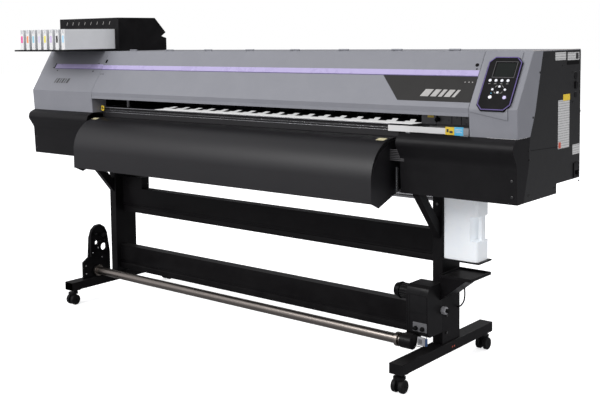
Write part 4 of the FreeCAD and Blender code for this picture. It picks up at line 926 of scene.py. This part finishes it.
left_screws = [(-1299, 137), (-1255, 119), (-942, 163), (-962, 119)]
screws("left_cover_screws",
       [slope_frame(x * MM, up * MM).translation for x, up in left_screws],
       OUT_SLOPE, 3.4 * MM)
screws("front_cover_screws",
       [slope_frame(x * MM, up * MM).translation
        for x, up in ((-874, 104), (-889, 104))], OUT_SLOPE, 2.6 * MM,
       body="front_cover")


# --- end covers: one bent sheet with a round outer corner ----------------

def end_cover(name, outer, radius=9 * MM):
    """The frame's end cover with its outer corner and folds rounded."""
    bm = merged(name)
    rims = []
    for edge in bm.edges:
        a, b = (v.co for v in edge.verts)
        if abs(a.x - outer) < 1e-5 and abs(b.x - outer) < 1e-5:
            if max(a.y, b.y) < BROW.y + 1e-4 and edge.calc_length() > 0.02:
                rims.append(edge)
    if rims:
        bmesh.ops.bevel(bm, geom=rims, offset=radius, segments=5,
                        profile=0.5, affect="EDGES", material=-1,
                        clamp_overlap=True)
    return piece(bm, name + "_shell", COVER_GREY, "frame", 1.6 * MM, 3,
                 replaces=[name])


end_cover("end_cover_right", high("end_cover_right").x)
end_cover("end_cover_left", low("end_cover_left").x)


def face_panel(name, first, last, foot_first, foot_last, top):
    """The raised face of the right cover, folded over the chin."""
    bm = bmesh.new()
    down = Vector((0, CHIN.y - FOLD.y, CHIN.z - FOLD.z)).normalized()
    rows = []
    for x, foot in ((first, foot_first), (last, foot_last)):
        fold = Vector((x * MM, FOLD.y, FOLD.z))
        rows.append([bm.verts.new(fold + down * foot * MM),
                     bm.verts.new(fold),
                     bm.verts.new(fold + UP_SLOPE * top * MM)])
    for i in (0, 1):
        bm.faces.new((rows[0][i], rows[1][i], rows[1][i + 1], rows[0][i + 1]))
    bm.normal_update()
    bmesh.ops.recalc_face_normals(bm, faces=bm.faces)
    if bm.faces[:][0].normal.y > 0:
        bmesh.ops.reverse_faces(bm, faces=bm.faces)
    bmesh.ops.solidify(bm, geom=bm.faces[:], thickness=-3.5 * MM)
    bmesh.ops.recalc_face_normals(bm, faces=bm.faces)
    return piece(bm, name, COVER_GREY, "frame", 1.2 * MM, 3)


face_panel("right_face_panel", 1203.5, 1352, 12, 38, 231)


# --- control panel -------------------------------------------------------

PANEL_TOP = 8.34
panel = (low("control_panel").x / MM, high("control_panel").x / MM)


def panel_outline(inset):
    """The panel's outline with its cut corners, in x and up, in mm."""
    x0, x1 = panel[0] + inset, panel[1] - inset
    u0, u1 = -9.0 + inset, 208.0 - inset
    cut = 22 - inset * 0.6
    return [(x0 + cut, u0), (x1 - cut, u0), (x1, u0 + cut), (x1, u1 - cut),
            (x1 - cut, u1), (x0 + cut, u1), (x0, u1 - cut), (x0, u0 + cut)]


dressed("control_panel", SATIN_BLACK, 1.2 * MM, 3)
bm = bmesh.new()
ringed(bm, scaled(panel_outline(1.2)), 3.6 * MM, 0.8 * MM,
       slope_frame(0, 0, PANEL_TOP * MM))
piece(bm, "panel_ring", BEZEL_PURPLE, "frame", 0.25 * MM, 2)
bm = bmesh.new()
plate(bm, scaled(oblong(1265.5, 1340.5, 127.5, 183)), 0.6 * MM,
      slope_frame(0, 0, 5.83 * MM))
piece(bm, "display", DISPLAY, "frame")
bm = bmesh.new()
ringed(bm, scaled(oblong(1260, 1346, 122, 188)), 2.2 * MM, 0.4 * MM,
       slope_frame(0, 0, PANEL_TOP * MM))
piece(bm, "display_frame", STATION_GREY, "frame")
bm = bmesh.new()
centre = slope_frame(1301 * MM, 74.5 * MM, PANEL_TOP * MM)
for quarter in range(4):
    start = math.radians(45 + 90 * quarter - 17)
    turn = centre @ Matrix.Rotation(start, 4, "Z")
    verts = [bm.verts.new(turn @ Vector((r * MM, 0, 0)))
             for r in (17.4, 18.6)]
    edge = bm.edges.new(verts)
    made = bmesh.ops.spin(bm, geom=verts + [edge], cent=centre.translation,
                          axis=OUT_SLOPE, angle=math.radians(34), steps=8,
                          use_merge=False)
bmesh.ops.recalc_face_normals(bm, faces=bm.faces)
grown = bmesh.ops.extrude_face_region(bm, geom=bm.faces[:])
bmesh.ops.translate(bm, vec=OUT_SLOPE * 0.3 * MM,
                    verts=[g for g in grown["geom"]
                           if isinstance(g, bmesh.types.BMVert)])
bmesh.ops.recalc_face_normals(bm, faces=bm.faces)
piece(bm, "key_arcs", SILVER_PRINT, "frame")
bm = bmesh.new()
turned(bm, [(0, 0), (0, 1.6), (0.5, 1.3), (0.5, 0)],
      slope_frame(1276 * MM, 59 * MM, PANEL_TOP * MM).translation,
       OUT_SLOPE, 14)
piece(bm, "status_lamp", CYAN, "frame")
bm = bmesh.new()
for name in ("key_f_one", "key_f_two", "key_f_three", "key_f_four"):
    x = middle(name).x
    plate(bm, [(a + x, b + 97.5 * MM) for a, b in
               rounded(9 * MM, 1.4 * MM, 0.5 * MM, 2)], 0.3 * MM,
          slope_frame(0, 0, PANEL_TOP * MM))
piece(bm, "key_dashes", SILVER_PRINT, "frame")


# --- lower covers --------------------------------------------------------

bm = merged("lower_covers")
edges = []
for edge in bm.edges:
    a, b = (v.co for v in edge.verts)
    along_x = abs(a.y - b.y) < 1e-5 and abs(a.z - b.z) < 1e-5
    if along_x and abs(a.x - b.x) > 0.1 and a.y < -0.2365 and a.z > 0.80:
        edges.append(edge)
bmesh.ops.bevel(bm, geom=edges, offset=11 * MM, segments=5, profile=0.5,
                affect="EDGES", material=-1, clamp_overlap=True)
piece(bm, "lower_covers_shell", PANEL_BLACK, "frame", 2 * MM, 3,
      replaces=["lower_covers"])
boxes("lower_vent", [((808, -243.5, 866 + i * 6.5), (930, -240, 870 + i * 6.5))
                     for i in range(7)], STATION_GREY,
      bevel=0.4 * MM)
boxes("edge_strip", [((897, -249, 749), (903, -238, 843))], ZINC,
      bevel=0.3 * MM)
screws("lower_cover_screws",
       [at(1368, -240, 828), at(1368, -238, 772), at(-1368, -240, 828),
        at(-1368, -238, 772)], (0, -1, 0), 5 * MM, height=2 * MM)


# --- slot: glowing film on the platen, pads, trims, painted shade blocks, pinch units ---

PITCH = 86.0
BED = 1000.0
HOOD_FOOT = 1018.5
UNITS = [-595 + PITCH * i for i in range(19)]
dressed("platen", SATIN_BLACK, 0.6 * MM)
# The film and its tabs glow with painted light, standing for the bright slot
# under the cover.
boxes("platen_film", [((-515, -176, BED), (920, -100, BED + 0.8))], FILM_PAINTED_GLOW,
      bevel=0)
bm = bmesh.new()
for x in UNITS[1:-1]:
    outline = [(x - 26, -101), (x + 18, -101), (x - 40, 8), (x - 66, 8),
               (x - 27, -62), (x - 47, -62)]
    plate(bm, scaled(outline), 0.8 * MM,
          Matrix.Translation(at(0, 0, BED)))
piece(bm, "film_tabs", FILM_PAINTED_GLOW, "frame")
boxes("platen_front_dark", [((-889, -182, 951), (868, -179.5, 974)),
                            ((-889, -182.5, 979), (826, -179.5, 983.5)),
                            ((-889, -182.5, 986), (826, -179.5, 990))],
      APRON_BLACK, bevel=0.5 * MM)
boxes("platen_front_lines", [((-889, -183, 974.6), (826, -179.5, 976.4)),
                             ((-889, -182.6, 984.2), (826, -179.5, 985.2)),
                             ((-889, -182.6, 997), (826, -179.5, 999.6))],
      ALUMINIUM, bevel=0.3 * MM)
boxes("white_band", [((826, -194, 972), (1078, -190, 995))], WHITE_PLASTIC,
      bevel=0.8 * MM)
boxes("band_tabs", [((905, -193, 962), (925, -189.5, 972.5)),
                    ((1153.4, -196, 973), (1176, -188, 999)),
                    ((1140, -194, 967), (1172, -190, 973))],
      GREY_PART, bevel=0.6 * MM)
boxes("band_yellow", [((1078.5, -195, 971), (1116, -190, 1000))], YELLOW,
      bevel=0.5 * MM)
boxes("band_cyan", [((1116.4, -195, 970), (1153, -190, 1001))], CYAN,
      bevel=0.5 * MM)
boxes("band_marks", [((1084, -195.6, 981), (1092, -194.6, 992)),
                     ((1096, -195.6, 978), (1109, -194.6, 986))],
      DARK_PRINT, bevel=0)
boxes("cyan_marks", [((1121, -195.5, 991), (1148, -194.8, 992.6)),
                     ((1121, -195.5, 986), (1140, -194.8, 987.6)),
                     ((1121, -195.5, 981), (1148, -194.8, 982.6))],
      WHITE_PLASTIC, bevel=0)

bm = bmesh.new()
for x in UNITS:
    for first, last in (((x - 38, 64, HOOD_FOOT), (x + 38, 122, 1054)),
                        ((x - 30, 62.2, 1026), (x + 30, 66, 1050)),
                        ((x - 25, 61.5, HOOD_FOOT), (x - 17, 80, 1022)),
                        ((x + 17, 61.5, HOOD_FOOT), (x + 25, 80, 1022))):
        block(bm, at(*first), at(*last))
piece(bm, "pinch_hoods", SATIN_BLACK, "pinch_arms", 1.6 * MM, 3)
bm = bmesh.new()
for x in UNITS:
    for side in (-1, 1):
        for turn in range(5):
            rod(bm, at(x + side * 12, 64.4, 1026 + turn * 4.2),
                at(x + side * 12, 64.4, 1028.2 + turn * 4.2), 2.2 * MM,
                steps=10)
piece(bm, "pinch_springs", BRIGHT_STEEL, "pinch_arms")
# Painted shade: dark sheets behind the slot block the view through the machine
# and stand for its shaded inside.
boxes("rear_shade_backing", [((-889, 128.5, 996.5), (999, 131, 1074.5)),
                     ((-1384, 128.5, 980), (-890, 131, 1074.5)),
                     ((1000, 146, 940), (1384, 150, 1074.5))], BLACK_AND_PAINTED_SHADE,
      bevel=0)
boxes("left_post", [((-768, -130, 1000.2), (-756, -122, 1044))], GREY_PART,
      bevel=1 * MM)
# Painted shade: a dark sheet at the slot's left end stops the backdrop showing
# through.
boxes("slot_shade_sheet", [((-902.8, -150, 1001), (-900.5, 45, 1072))], BLACK_AND_PAINTED_SHADE,
      bevel=0)
label("left_yellow", wall_frame(at(-886, -186, 994), (1, 0, 0), (0, -1, 0)),
      22 * MM, 24 * MM, YELLOW)
boxes("left_yellow_mark", [((-890, -187, 988), (-884, -186.3, 1000)),
                           ((-882, -187, 990), (-877, -186.3, 994))],
      DARK_PRINT, bevel=0)


# --- station wall on the right -------------------------------------------

bm = bmesh.new()
turned(bm, [(-1, 0), (-1, 8), (3, 7.6), (4, 6), (4, 0)],
       at(1012, -145, 1019), (0, -1, 0), 28)
piece(bm, "lever_cap", BLACK_AND_PAINTED_SHADE, "clamp_lever")
label("station_yellow", wall_frame(at(978, -131.1, 1031), (1, 0, 0),
      (0, -1, 0)), 27 * MM, 11 * MM, YELLOW)
screws("station_screws", [at(1040, -130, 1036), at(1056, -130, 1018),
                          at(1090, -130, 1030), at(1130, -130, 1030),
                          at(1130, -130, 1008)], (0, -1, 0), 3.6 * MM)
boxes("station_face", [((938, -131, 1000.2), (1001, -129.6, 1044)),
                       ((1003, -130.5, 1003), (1067, -129.8, 1044)),
                       ((1070, -130.5, 1003), (1107, -129.8, 1044)),
                       ((1110, -130.5, 1003), (1197, -129.8, 1044))],
      SENSOR_GREY, bevel=0)
boxes("station_seams", [((1068, -130.8, 1003), (1069.2, -129.9, 1044)),
                        ((1108, -130.8, 1003), (1109.2, -129.9, 1044))],
      BLACK_AND_PAINTED_SHADE, bevel=0)


# --- apron ---------------------------------------------------------------

shoulder = bent("media_apron", (0, 0, -1), 0.1)


def apron_label(name, x, y, width, height, material):
    place, normal = shoulder((x * MM, y * MM, 1.1))
    frame_ = wall_frame(place + normal * 0.1 * MM, (1, 0, 0), normal)
    return label(name, frame_, width * MM, height * MM, material)


# --- right side panel ----------------------------------------------------

SIDE = high("side_panels").x / MM


def on_side(name, y0, y1, z0, z1, material, thickness=0.4, out=0.0,
            radius=1.5):
    frame_ = wall_frame(at(SIDE + out, (y0 + y1) / 2, (z0 + z1) / 2),
                        (0, 1, 0), (1, 0, 0))
    return label(name, frame_, (y1 - y0) * MM, (z1 - z0) * MM, material,
                 radius * MM, thickness * MM)


on_side("data_label_one", 59, 151, 1238, 1267, DATA_LABEL)
on_side("data_label_two", 166, 272, 1236, 1265, DATA_LABEL)
on_side("label_two_black", 240, 264, 1239, 1262, DARK_PRINT, 0.3, 0.4)
on_side("long_label", 87, 187, 909, 1090, DATA_LABEL)
on_side("long_label_top", 130, 190, 1086, 1110, YELLOW, 0.4, 0.1)
on_side("long_label_foot", 92, 112, 912, 934, RED_MARK, 0.3, 0.4, 1)
on_side("small_label", 218, 284, 876, 914, DATA_LABEL)
# The grip slot is a dark sticker: painted shade for a hollow.
on_side("grip_slot", 158, 272, 1219, 1233, BLACK_AND_PAINTED_SHADE, 0.3, 0, 6)
screws("side_screws", [at(SIDE, y, z) for y, z in
                       ((-41, 1250), (-67, 1199), (125, 1219), (212, 1190),
                        (-120, 1042), (284, 1039), (-148, 927), (-148, 894),
                        (216, 1078), (280, 770), (-150, 770), (60, 770))],
       (1, 0, 0), 4.2 * MM, height=1.8 * MM)
bm = bmesh.new()
turned(bm, [(0, 0), (0, 15), (1.6, 14), (1.6, 0)],
      at(SIDE, 241, 1176), (1, 0, 0), 28)
turned(bm, [(0, 0), (0, 12), (1.6, 11), (1.6, 0)],
      at(SIDE, 241, 1104), (1, 0, 0), 28)
piece(bm, "switch_rings", SATIN_BLACK, "frame")
bm = bmesh.new()
seam = at(0, 288, 911) - at(0, -148, 927)
across = wall_frame(at(SIDE, 70, 919), seam, (1, 0, 0))
plate(bm, rounded(seam.length, 1.6 * MM, 0.3 * MM, 1), 0.25 * MM, across)
piece(bm, "side_seam", BLACK_AND_PAINTED_SHADE, "frame")
boxes("top_edge_trim", [((1377, -108, 1275.8), (1386.5, 284, 1277.0))], BEIGE,
      bevel=0)
LEFT_SIDE = -1387.5
screws("left_side_screws", [at(LEFT_SIDE, y, z) for y, z in
                            ((-67, 1199), (212, 1190), (-120, 1042),
                             (-148, 894), (280, 770), (-150, 770))],
       (-1, 0, 0), 4.2 * MM, height=1.8 * MM)


# --- ink unit and cartridges ---------------------------------------------

bm = bmesh.new()
for i in range(8):
    x = -1323 + 50 * i
    points = [(x - 5, -8), (x - 2, -8), (x + 5, 8), (x + 2, 8)]
    plate(bm, scaled(points), 0.5 * MM,
          wall_frame(at(0, -55.0, 1420), (1, 0, 0), (0, -1, 0)))
piece(bm, "slot_marks", SILVER_PRINT, "frame")
for i in range(8):
    name = "cartridge_%d" % (i + 1)
    x0, x1 = low(name).x, high(name).x
    front = low(name).y
    bm = merged(name)
    # Faces that look along X take the darker copy: painted shade on the
    # cartridge sides.
    for face in bm.faces:
        face.material_index = 1 if abs(face.normal.x) > 0.7 else 0
    piece(bm, name + "_shell", [WHITE_PLASTIC, CARTRIDGE_SHADED_SIDE], name,
          1.2 * MM, 3, replaces=[name])
    bm = bmesh.new()
    place = wall_frame(((x0 + x1) / 2, front, 1.340), (1, 0, 0), (0, -1, 0))
    plate(bm, rounded(14 * MM, 34 * MM, 2 * MM), 0.4 * MM, place)
    piece(bm, name + "_label", INK_LABELS[i], name)
    bm = bmesh.new()
    block(bm, (x0 + 5 * MM, front - 0.0 * MM, 1.368), (x1 - 5 * MM,
          front + 6 * MM, 1.3885))
    block(bm, (x0 + 8 * MM, front - 0.4 * MM, 1.300), (x1 - 8 * MM,
          front + 1 * MM, 1.306))
    piece(bm, name + "_lip", CARTRIDGE_SHADED_SIDE, name,
          0.5 * MM)


# --- bottle --------------------------------------------------------------

bm = merged("waste_bottle")
left, right = low("waste_bottle"), high("waste_bottle")
corners = []
for edge in bm.edges:
    a, b = (v.co for v in edge.verts)
    at_x = min(abs(a.x - left.x), abs(a.x - right.x)) < 1e-4
    at_y = min(abs(a.y - left.y), abs(a.y - right.y)) < 1e-4
    if abs(a.z - b.z) > 0.05 and at_x and at_y:
        corners.append(edge)
bmesh.ops.bevel(bm, geom=corners, offset=15 * MM, segments=6, profile=0.5,
                affect="EDGES", material=-1, clamp_overlap=False)
# The bottle's finish glows faintly: painted light.
piece(bm, "waste_bottle_shell", BOTTLE_PAINTED_GLOW, "waste_bottle",
      5 * MM, 4, replaces=["waste_bottle"])


# --- stand: foot plugs, hub caps, plates ---------------------------------

plugs = []
for x0, x1 in ((-1045, -985), (917, 977)):
    for y0, y1 in ((-329.6, -322), (362, 369.6)):
        plugs.append(((x0 + 0.6, y0, 75.6), (x1 - 0.6, y1, 115.4)))
boxes("foot_plugs", plugs, SATIN_BLACK, bevel=1.2 * MM)
for corner in ("fl", "fr", "rl", "rr"):
    body = "wheels_" + corner
    name = "caster_wheels_" + corner
    a, b = low(name), high(name)
    hub = (a + b) / 2
    bm = bmesh.new()
    for side, x in ((-1, a.x), (1, b.x)):
        turned(bm, [(-0.5, 0), (-0.5, 15), (0.1, 14), (0.1, 6), (0.3, 5),
                    (0.3, 0)],
              (x - side * 0.3 * MM, hub.y, hub.z), (side, 0, 0), 28)
    piece(bm, "hub_discs_" + corner, SATIN_BLACK, body)
boxes("sensor_plate", [((904, -143.5, 190), (966, -139.8, 226))], SENSOR_GREY,
      bevel=0.8 * MM)
bm = bmesh.new()
for x in (918, 948):
    turned(bm, [(0, 0), (0, 9), (6, 9), (9, 7), (12, 7), (13, 5), (13, 0)],
          at(x, -143, 203), (0, -1, 0), 24)
piece(bm, "plate_knobs", BLACK_AND_PAINTED_SHADE, "frame")
boxes("sensor_body", [((928, -150, 138), (962, -139.8, 171))], GREY_PART,
      bevel=2 * MM)
boxes("sensor_window", [((934, -151, 146), (950, -149.8, 164))], SENSOR_GREY,
      bevel=0.6 * MM)
boxes("blue_block", [((962.3, -148, 139), (969.4, -139.8, 168))], BLUE_PART,
      bevel=1.5 * MM)
boxes("motor_seams", [((873, -140.7, 262), (968, -139.8, 263.4)),
                      ((873, -140.7, 180), (968, -139.8, 181.2)),
                      ((886, -140.6, 130), (887.2, -139.8, 330))],
      BLACK_AND_PAINTED_SHADE, bevel=0)
bm = bmesh.new()
ringed(bm, rounded(92 * MM, 206 * MM, 12 * MM, 5), 3 * MM,
       1.6 * MM, wall_frame(at(920, -139.8, 232), (1, 0, 0),
                                    (0, -1, 0)))
piece(bm, "motor_rim", SATIN_BLACK, "frame", 0.6 * MM, 2)
for y0, z0 in ((50, 94), (35, 94)):
    boxes("foot_mark_%d" % y0, [((976.9, y0 - 3, z0 - 3),
                                 (977.4, y0 + 3, z0 + 3))], RED_MARK,
          bevel=0)


# --- cover lip, take-up plate rim, spindles, hub ribs --------------------

boxes("cover_lip", [((COVER_FIRST + 0.2, -241.6, 1044.5),
                     (COVER_LAST - 0.2, -239.4, 1056))], COVER_GREY,
      "front_cover", bevel=0.8 * MM)


def rail(bm, points, first, last, thickness):
    """A flat strip bent along (y, z) points, wide along X."""
    verts = [bm.verts.new((first, y, z)) for y, z in points]
    edges = [bm.edges.new(pair) for pair in zip(verts, verts[1:])]
    grown = bmesh.ops.extrude_edge_only(bm, edges=edges)["geom"]
    moved = [g for g in grown if isinstance(g, bmesh.types.BMVert)]
    bmesh.ops.translate(bm, verts=moved, vec=(last - first, 0, 0))
    faces = [f for f in bm.faces if set(f.verts) & set(verts)]
    bmesh.ops.recalc_face_normals(bm, faces=faces)
    bmesh.ops.solidify(bm, geom=faces, thickness=thickness)
    bmesh.ops.recalc_face_normals(bm, faces=bm.faces)


def arc(centre, radius, first, last, steps):
    return [(centre[0] + radius * math.cos(math.radians(a)),
             centre[1] + radius * math.sin(math.radians(a)))
            for a in (first + (last - first) * i / steps
                      for i in range(steps + 1))]


plate_high = high("takeup_bracket")
crown = (-146 * MM, plate_high.z - 51 * MM)
bm = bmesh.new()
path = [(-199 * MM, 224 * MM)] + arc(crown, 50.5 * MM, 176, 4, 18)
path.append((-93 * MM, 240 * MM))
rail(bm, path, plate_high.x - 1 * MM, plate_high.x + 13 * MM, 2.4 * MM)
piece(bm, "plate_rim", FRAME_BLACK, "frame", 0.6 * MM, 2)
bm = bmesh.new()
for y, z, radius, reach in ((-124, 329, 7, 34), (-165, 338, 4, 22),
                            (-142, 299, 3.4, 26), (-112, 300, 4, 20)):
    turned(bm, [(-2, 0), (-2, radius), (reach * 0.6, radius),
                (reach * 0.64, radius * 1.5), (reach, radius * 1.4),
                (reach + 2, radius), (reach + 2, 0)],
          (plate_high.x, y * MM, z * MM), (1, 0, 0), 20)
piece(bm, "plate_spindles", SATIN_BLACK, "frame")
screws("plate_screws", [(plate_high.x, y * MM, z * MM) for y, z in
                        ((-142, 262), (-176, 240), (-118, 210), (-222, 180),
                         (-222, 140))], (1, 0, 0), 4 * MM, BRIGHT_STEEL,
       height=2 * MM)
bm = bmesh.new()
turned(bm, [(0, 0), (0, 22), (9, 20), (11, 12), (26, 12), (27, 10), (27, 0)],
      at(-1021, -155, 148), (-1, 0, 0), 28)
piece(bm, "bearing_hub", SATIN_BLACK, "frame")
gear_low = low("takeup_gear")
axle = middle("takeup_gear")
bm = bmesh.new()
for i in range(4):
    turned(bm, [(0, 0), (0, (33.5 - 2.5 * i)), (4, (33.5 - 2.5 * i)), (4, 0)],
          (gear_low.x - 3 * MM - i * 7 * MM, axle.y, axle.z), (-1, 0, 0), 36)
    turned(bm, [(0, 0), (0, 22), (3.2, 22), (3.2, 0)],
          (gear_low.x + 0.1 * MM - i * 7 * MM, axle.y, axle.z), (-1, 0, 0), 28)
piece(bm, "gear_ribs", SATIN_BLACK, "takeup_gear",
      0.6 * MM, 2)
knob_low, knob_high = low("clamp_knob"), high("clamp_knob")
hub = (knob_low + knob_high) / 2
bm = bmesh.new()
turned(bm, [(-1, 0), (-1, 8), (9, 7.4), (11, 5.5), (11, 0)],
      (knob_high.x, hub.y, hub.z), (1, 0, 0), 24)
piece(bm, "knob_end", BLACK_AND_PAINTED_SHADE, "clamp_knob")
bm = bmesh.new()
for i in range(14):
    turn = math.radians(i * 360 / 14)
    spot = Vector((0, math.cos(turn), math.sin(turn))) * 14.6 * MM
    rod(bm, Vector((knob_low.x + 3 * MM, hub.y, hub.z)) + spot,
        Vector((knob_high.x - 1 * MM, hub.y, hub.z)) + spot, 1.3 * MM, steps=8)
piece(bm, "knob_ribs", GREY_PART, "clamp_knob")
apron_label("apron_label_left", -866, -250, 34, 22, CREAM_LABEL)
apron_label("apron_label_right", 838, -256, 38, 26, CREAM_LABEL)


# --- back: slots, fan guard, seams and screws ----------------------------

BACK = high("rear_cover").y / MM
FAN = at(1180, BACK, 900)
# The vent slots are dark boxes on the cover: painted shade for the dark inside
# of open slots.
slots = []
for middle_x in (-950, 0, 950):
    for i in range(14):
        x = middle_x - 84 + 12 * i
        slots.append(((x, BACK - 0.4, 1150), (x + 5, BACK + 0.5, 1215)))
boxes("rear_slots", slots, BLACK_AND_PAINTED_SHADE, bevel=0)
bm = bmesh.new()
for ring in range(5):
    r = (12 + 10 * ring) * MM
    lathe(bm, [(0, r), (2.2 * MM, r), (2.2 * MM, r + 2.4 * MM),
               (0, r + 2.4 * MM), (0, r)], FAN, (0, 1, 0), 40)
turned(bm, [(0, 0), (0, 9), (2.6, 8), (2.6, 0)],
      FAN, (0, 1, 0), 24)
for turn in range(4):
    spoke = Matrix.Translation(at(1180, BACK + 1, 900))
    spoke = spoke @ Matrix.Rotation(math.radians(45 * turn), 4, "Y")
    block(bm, (-54 * MM, -1 * MM, -1.2 * MM), (54 * MM, 1.6 * MM, 1.2 * MM),
          spoke)
piece(bm, "fan_guard", SCREW_STEEL, "frame")
boxes("rear_seams", [((-1383, BACK - 0.4, 1104), (1383, BACK + 0.3, 1105.6)),
                     ((-462, BACK - 0.4, 1106), (-460.4, BACK + 0.3, 1272)),
                     ((461, BACK - 0.4, 1106), (462.6, BACK + 0.3, 1272))],
      BLACK_AND_PAINTED_SHADE, bevel=0)
screws("rear_screws", [at(x, BACK, z) for z in (1262, 1092, 796)
                       for x in range(-1340, 1341, 268)], (0, 1, 0), 4 * MM,
       height=1.8 * MM)
label("rear_label", wall_frame(at(-1180, BACK, 1010), (-1, 0, 0), (0, 1, 0)),
      90 * MM, 60 * MM, DATA_LABEL)
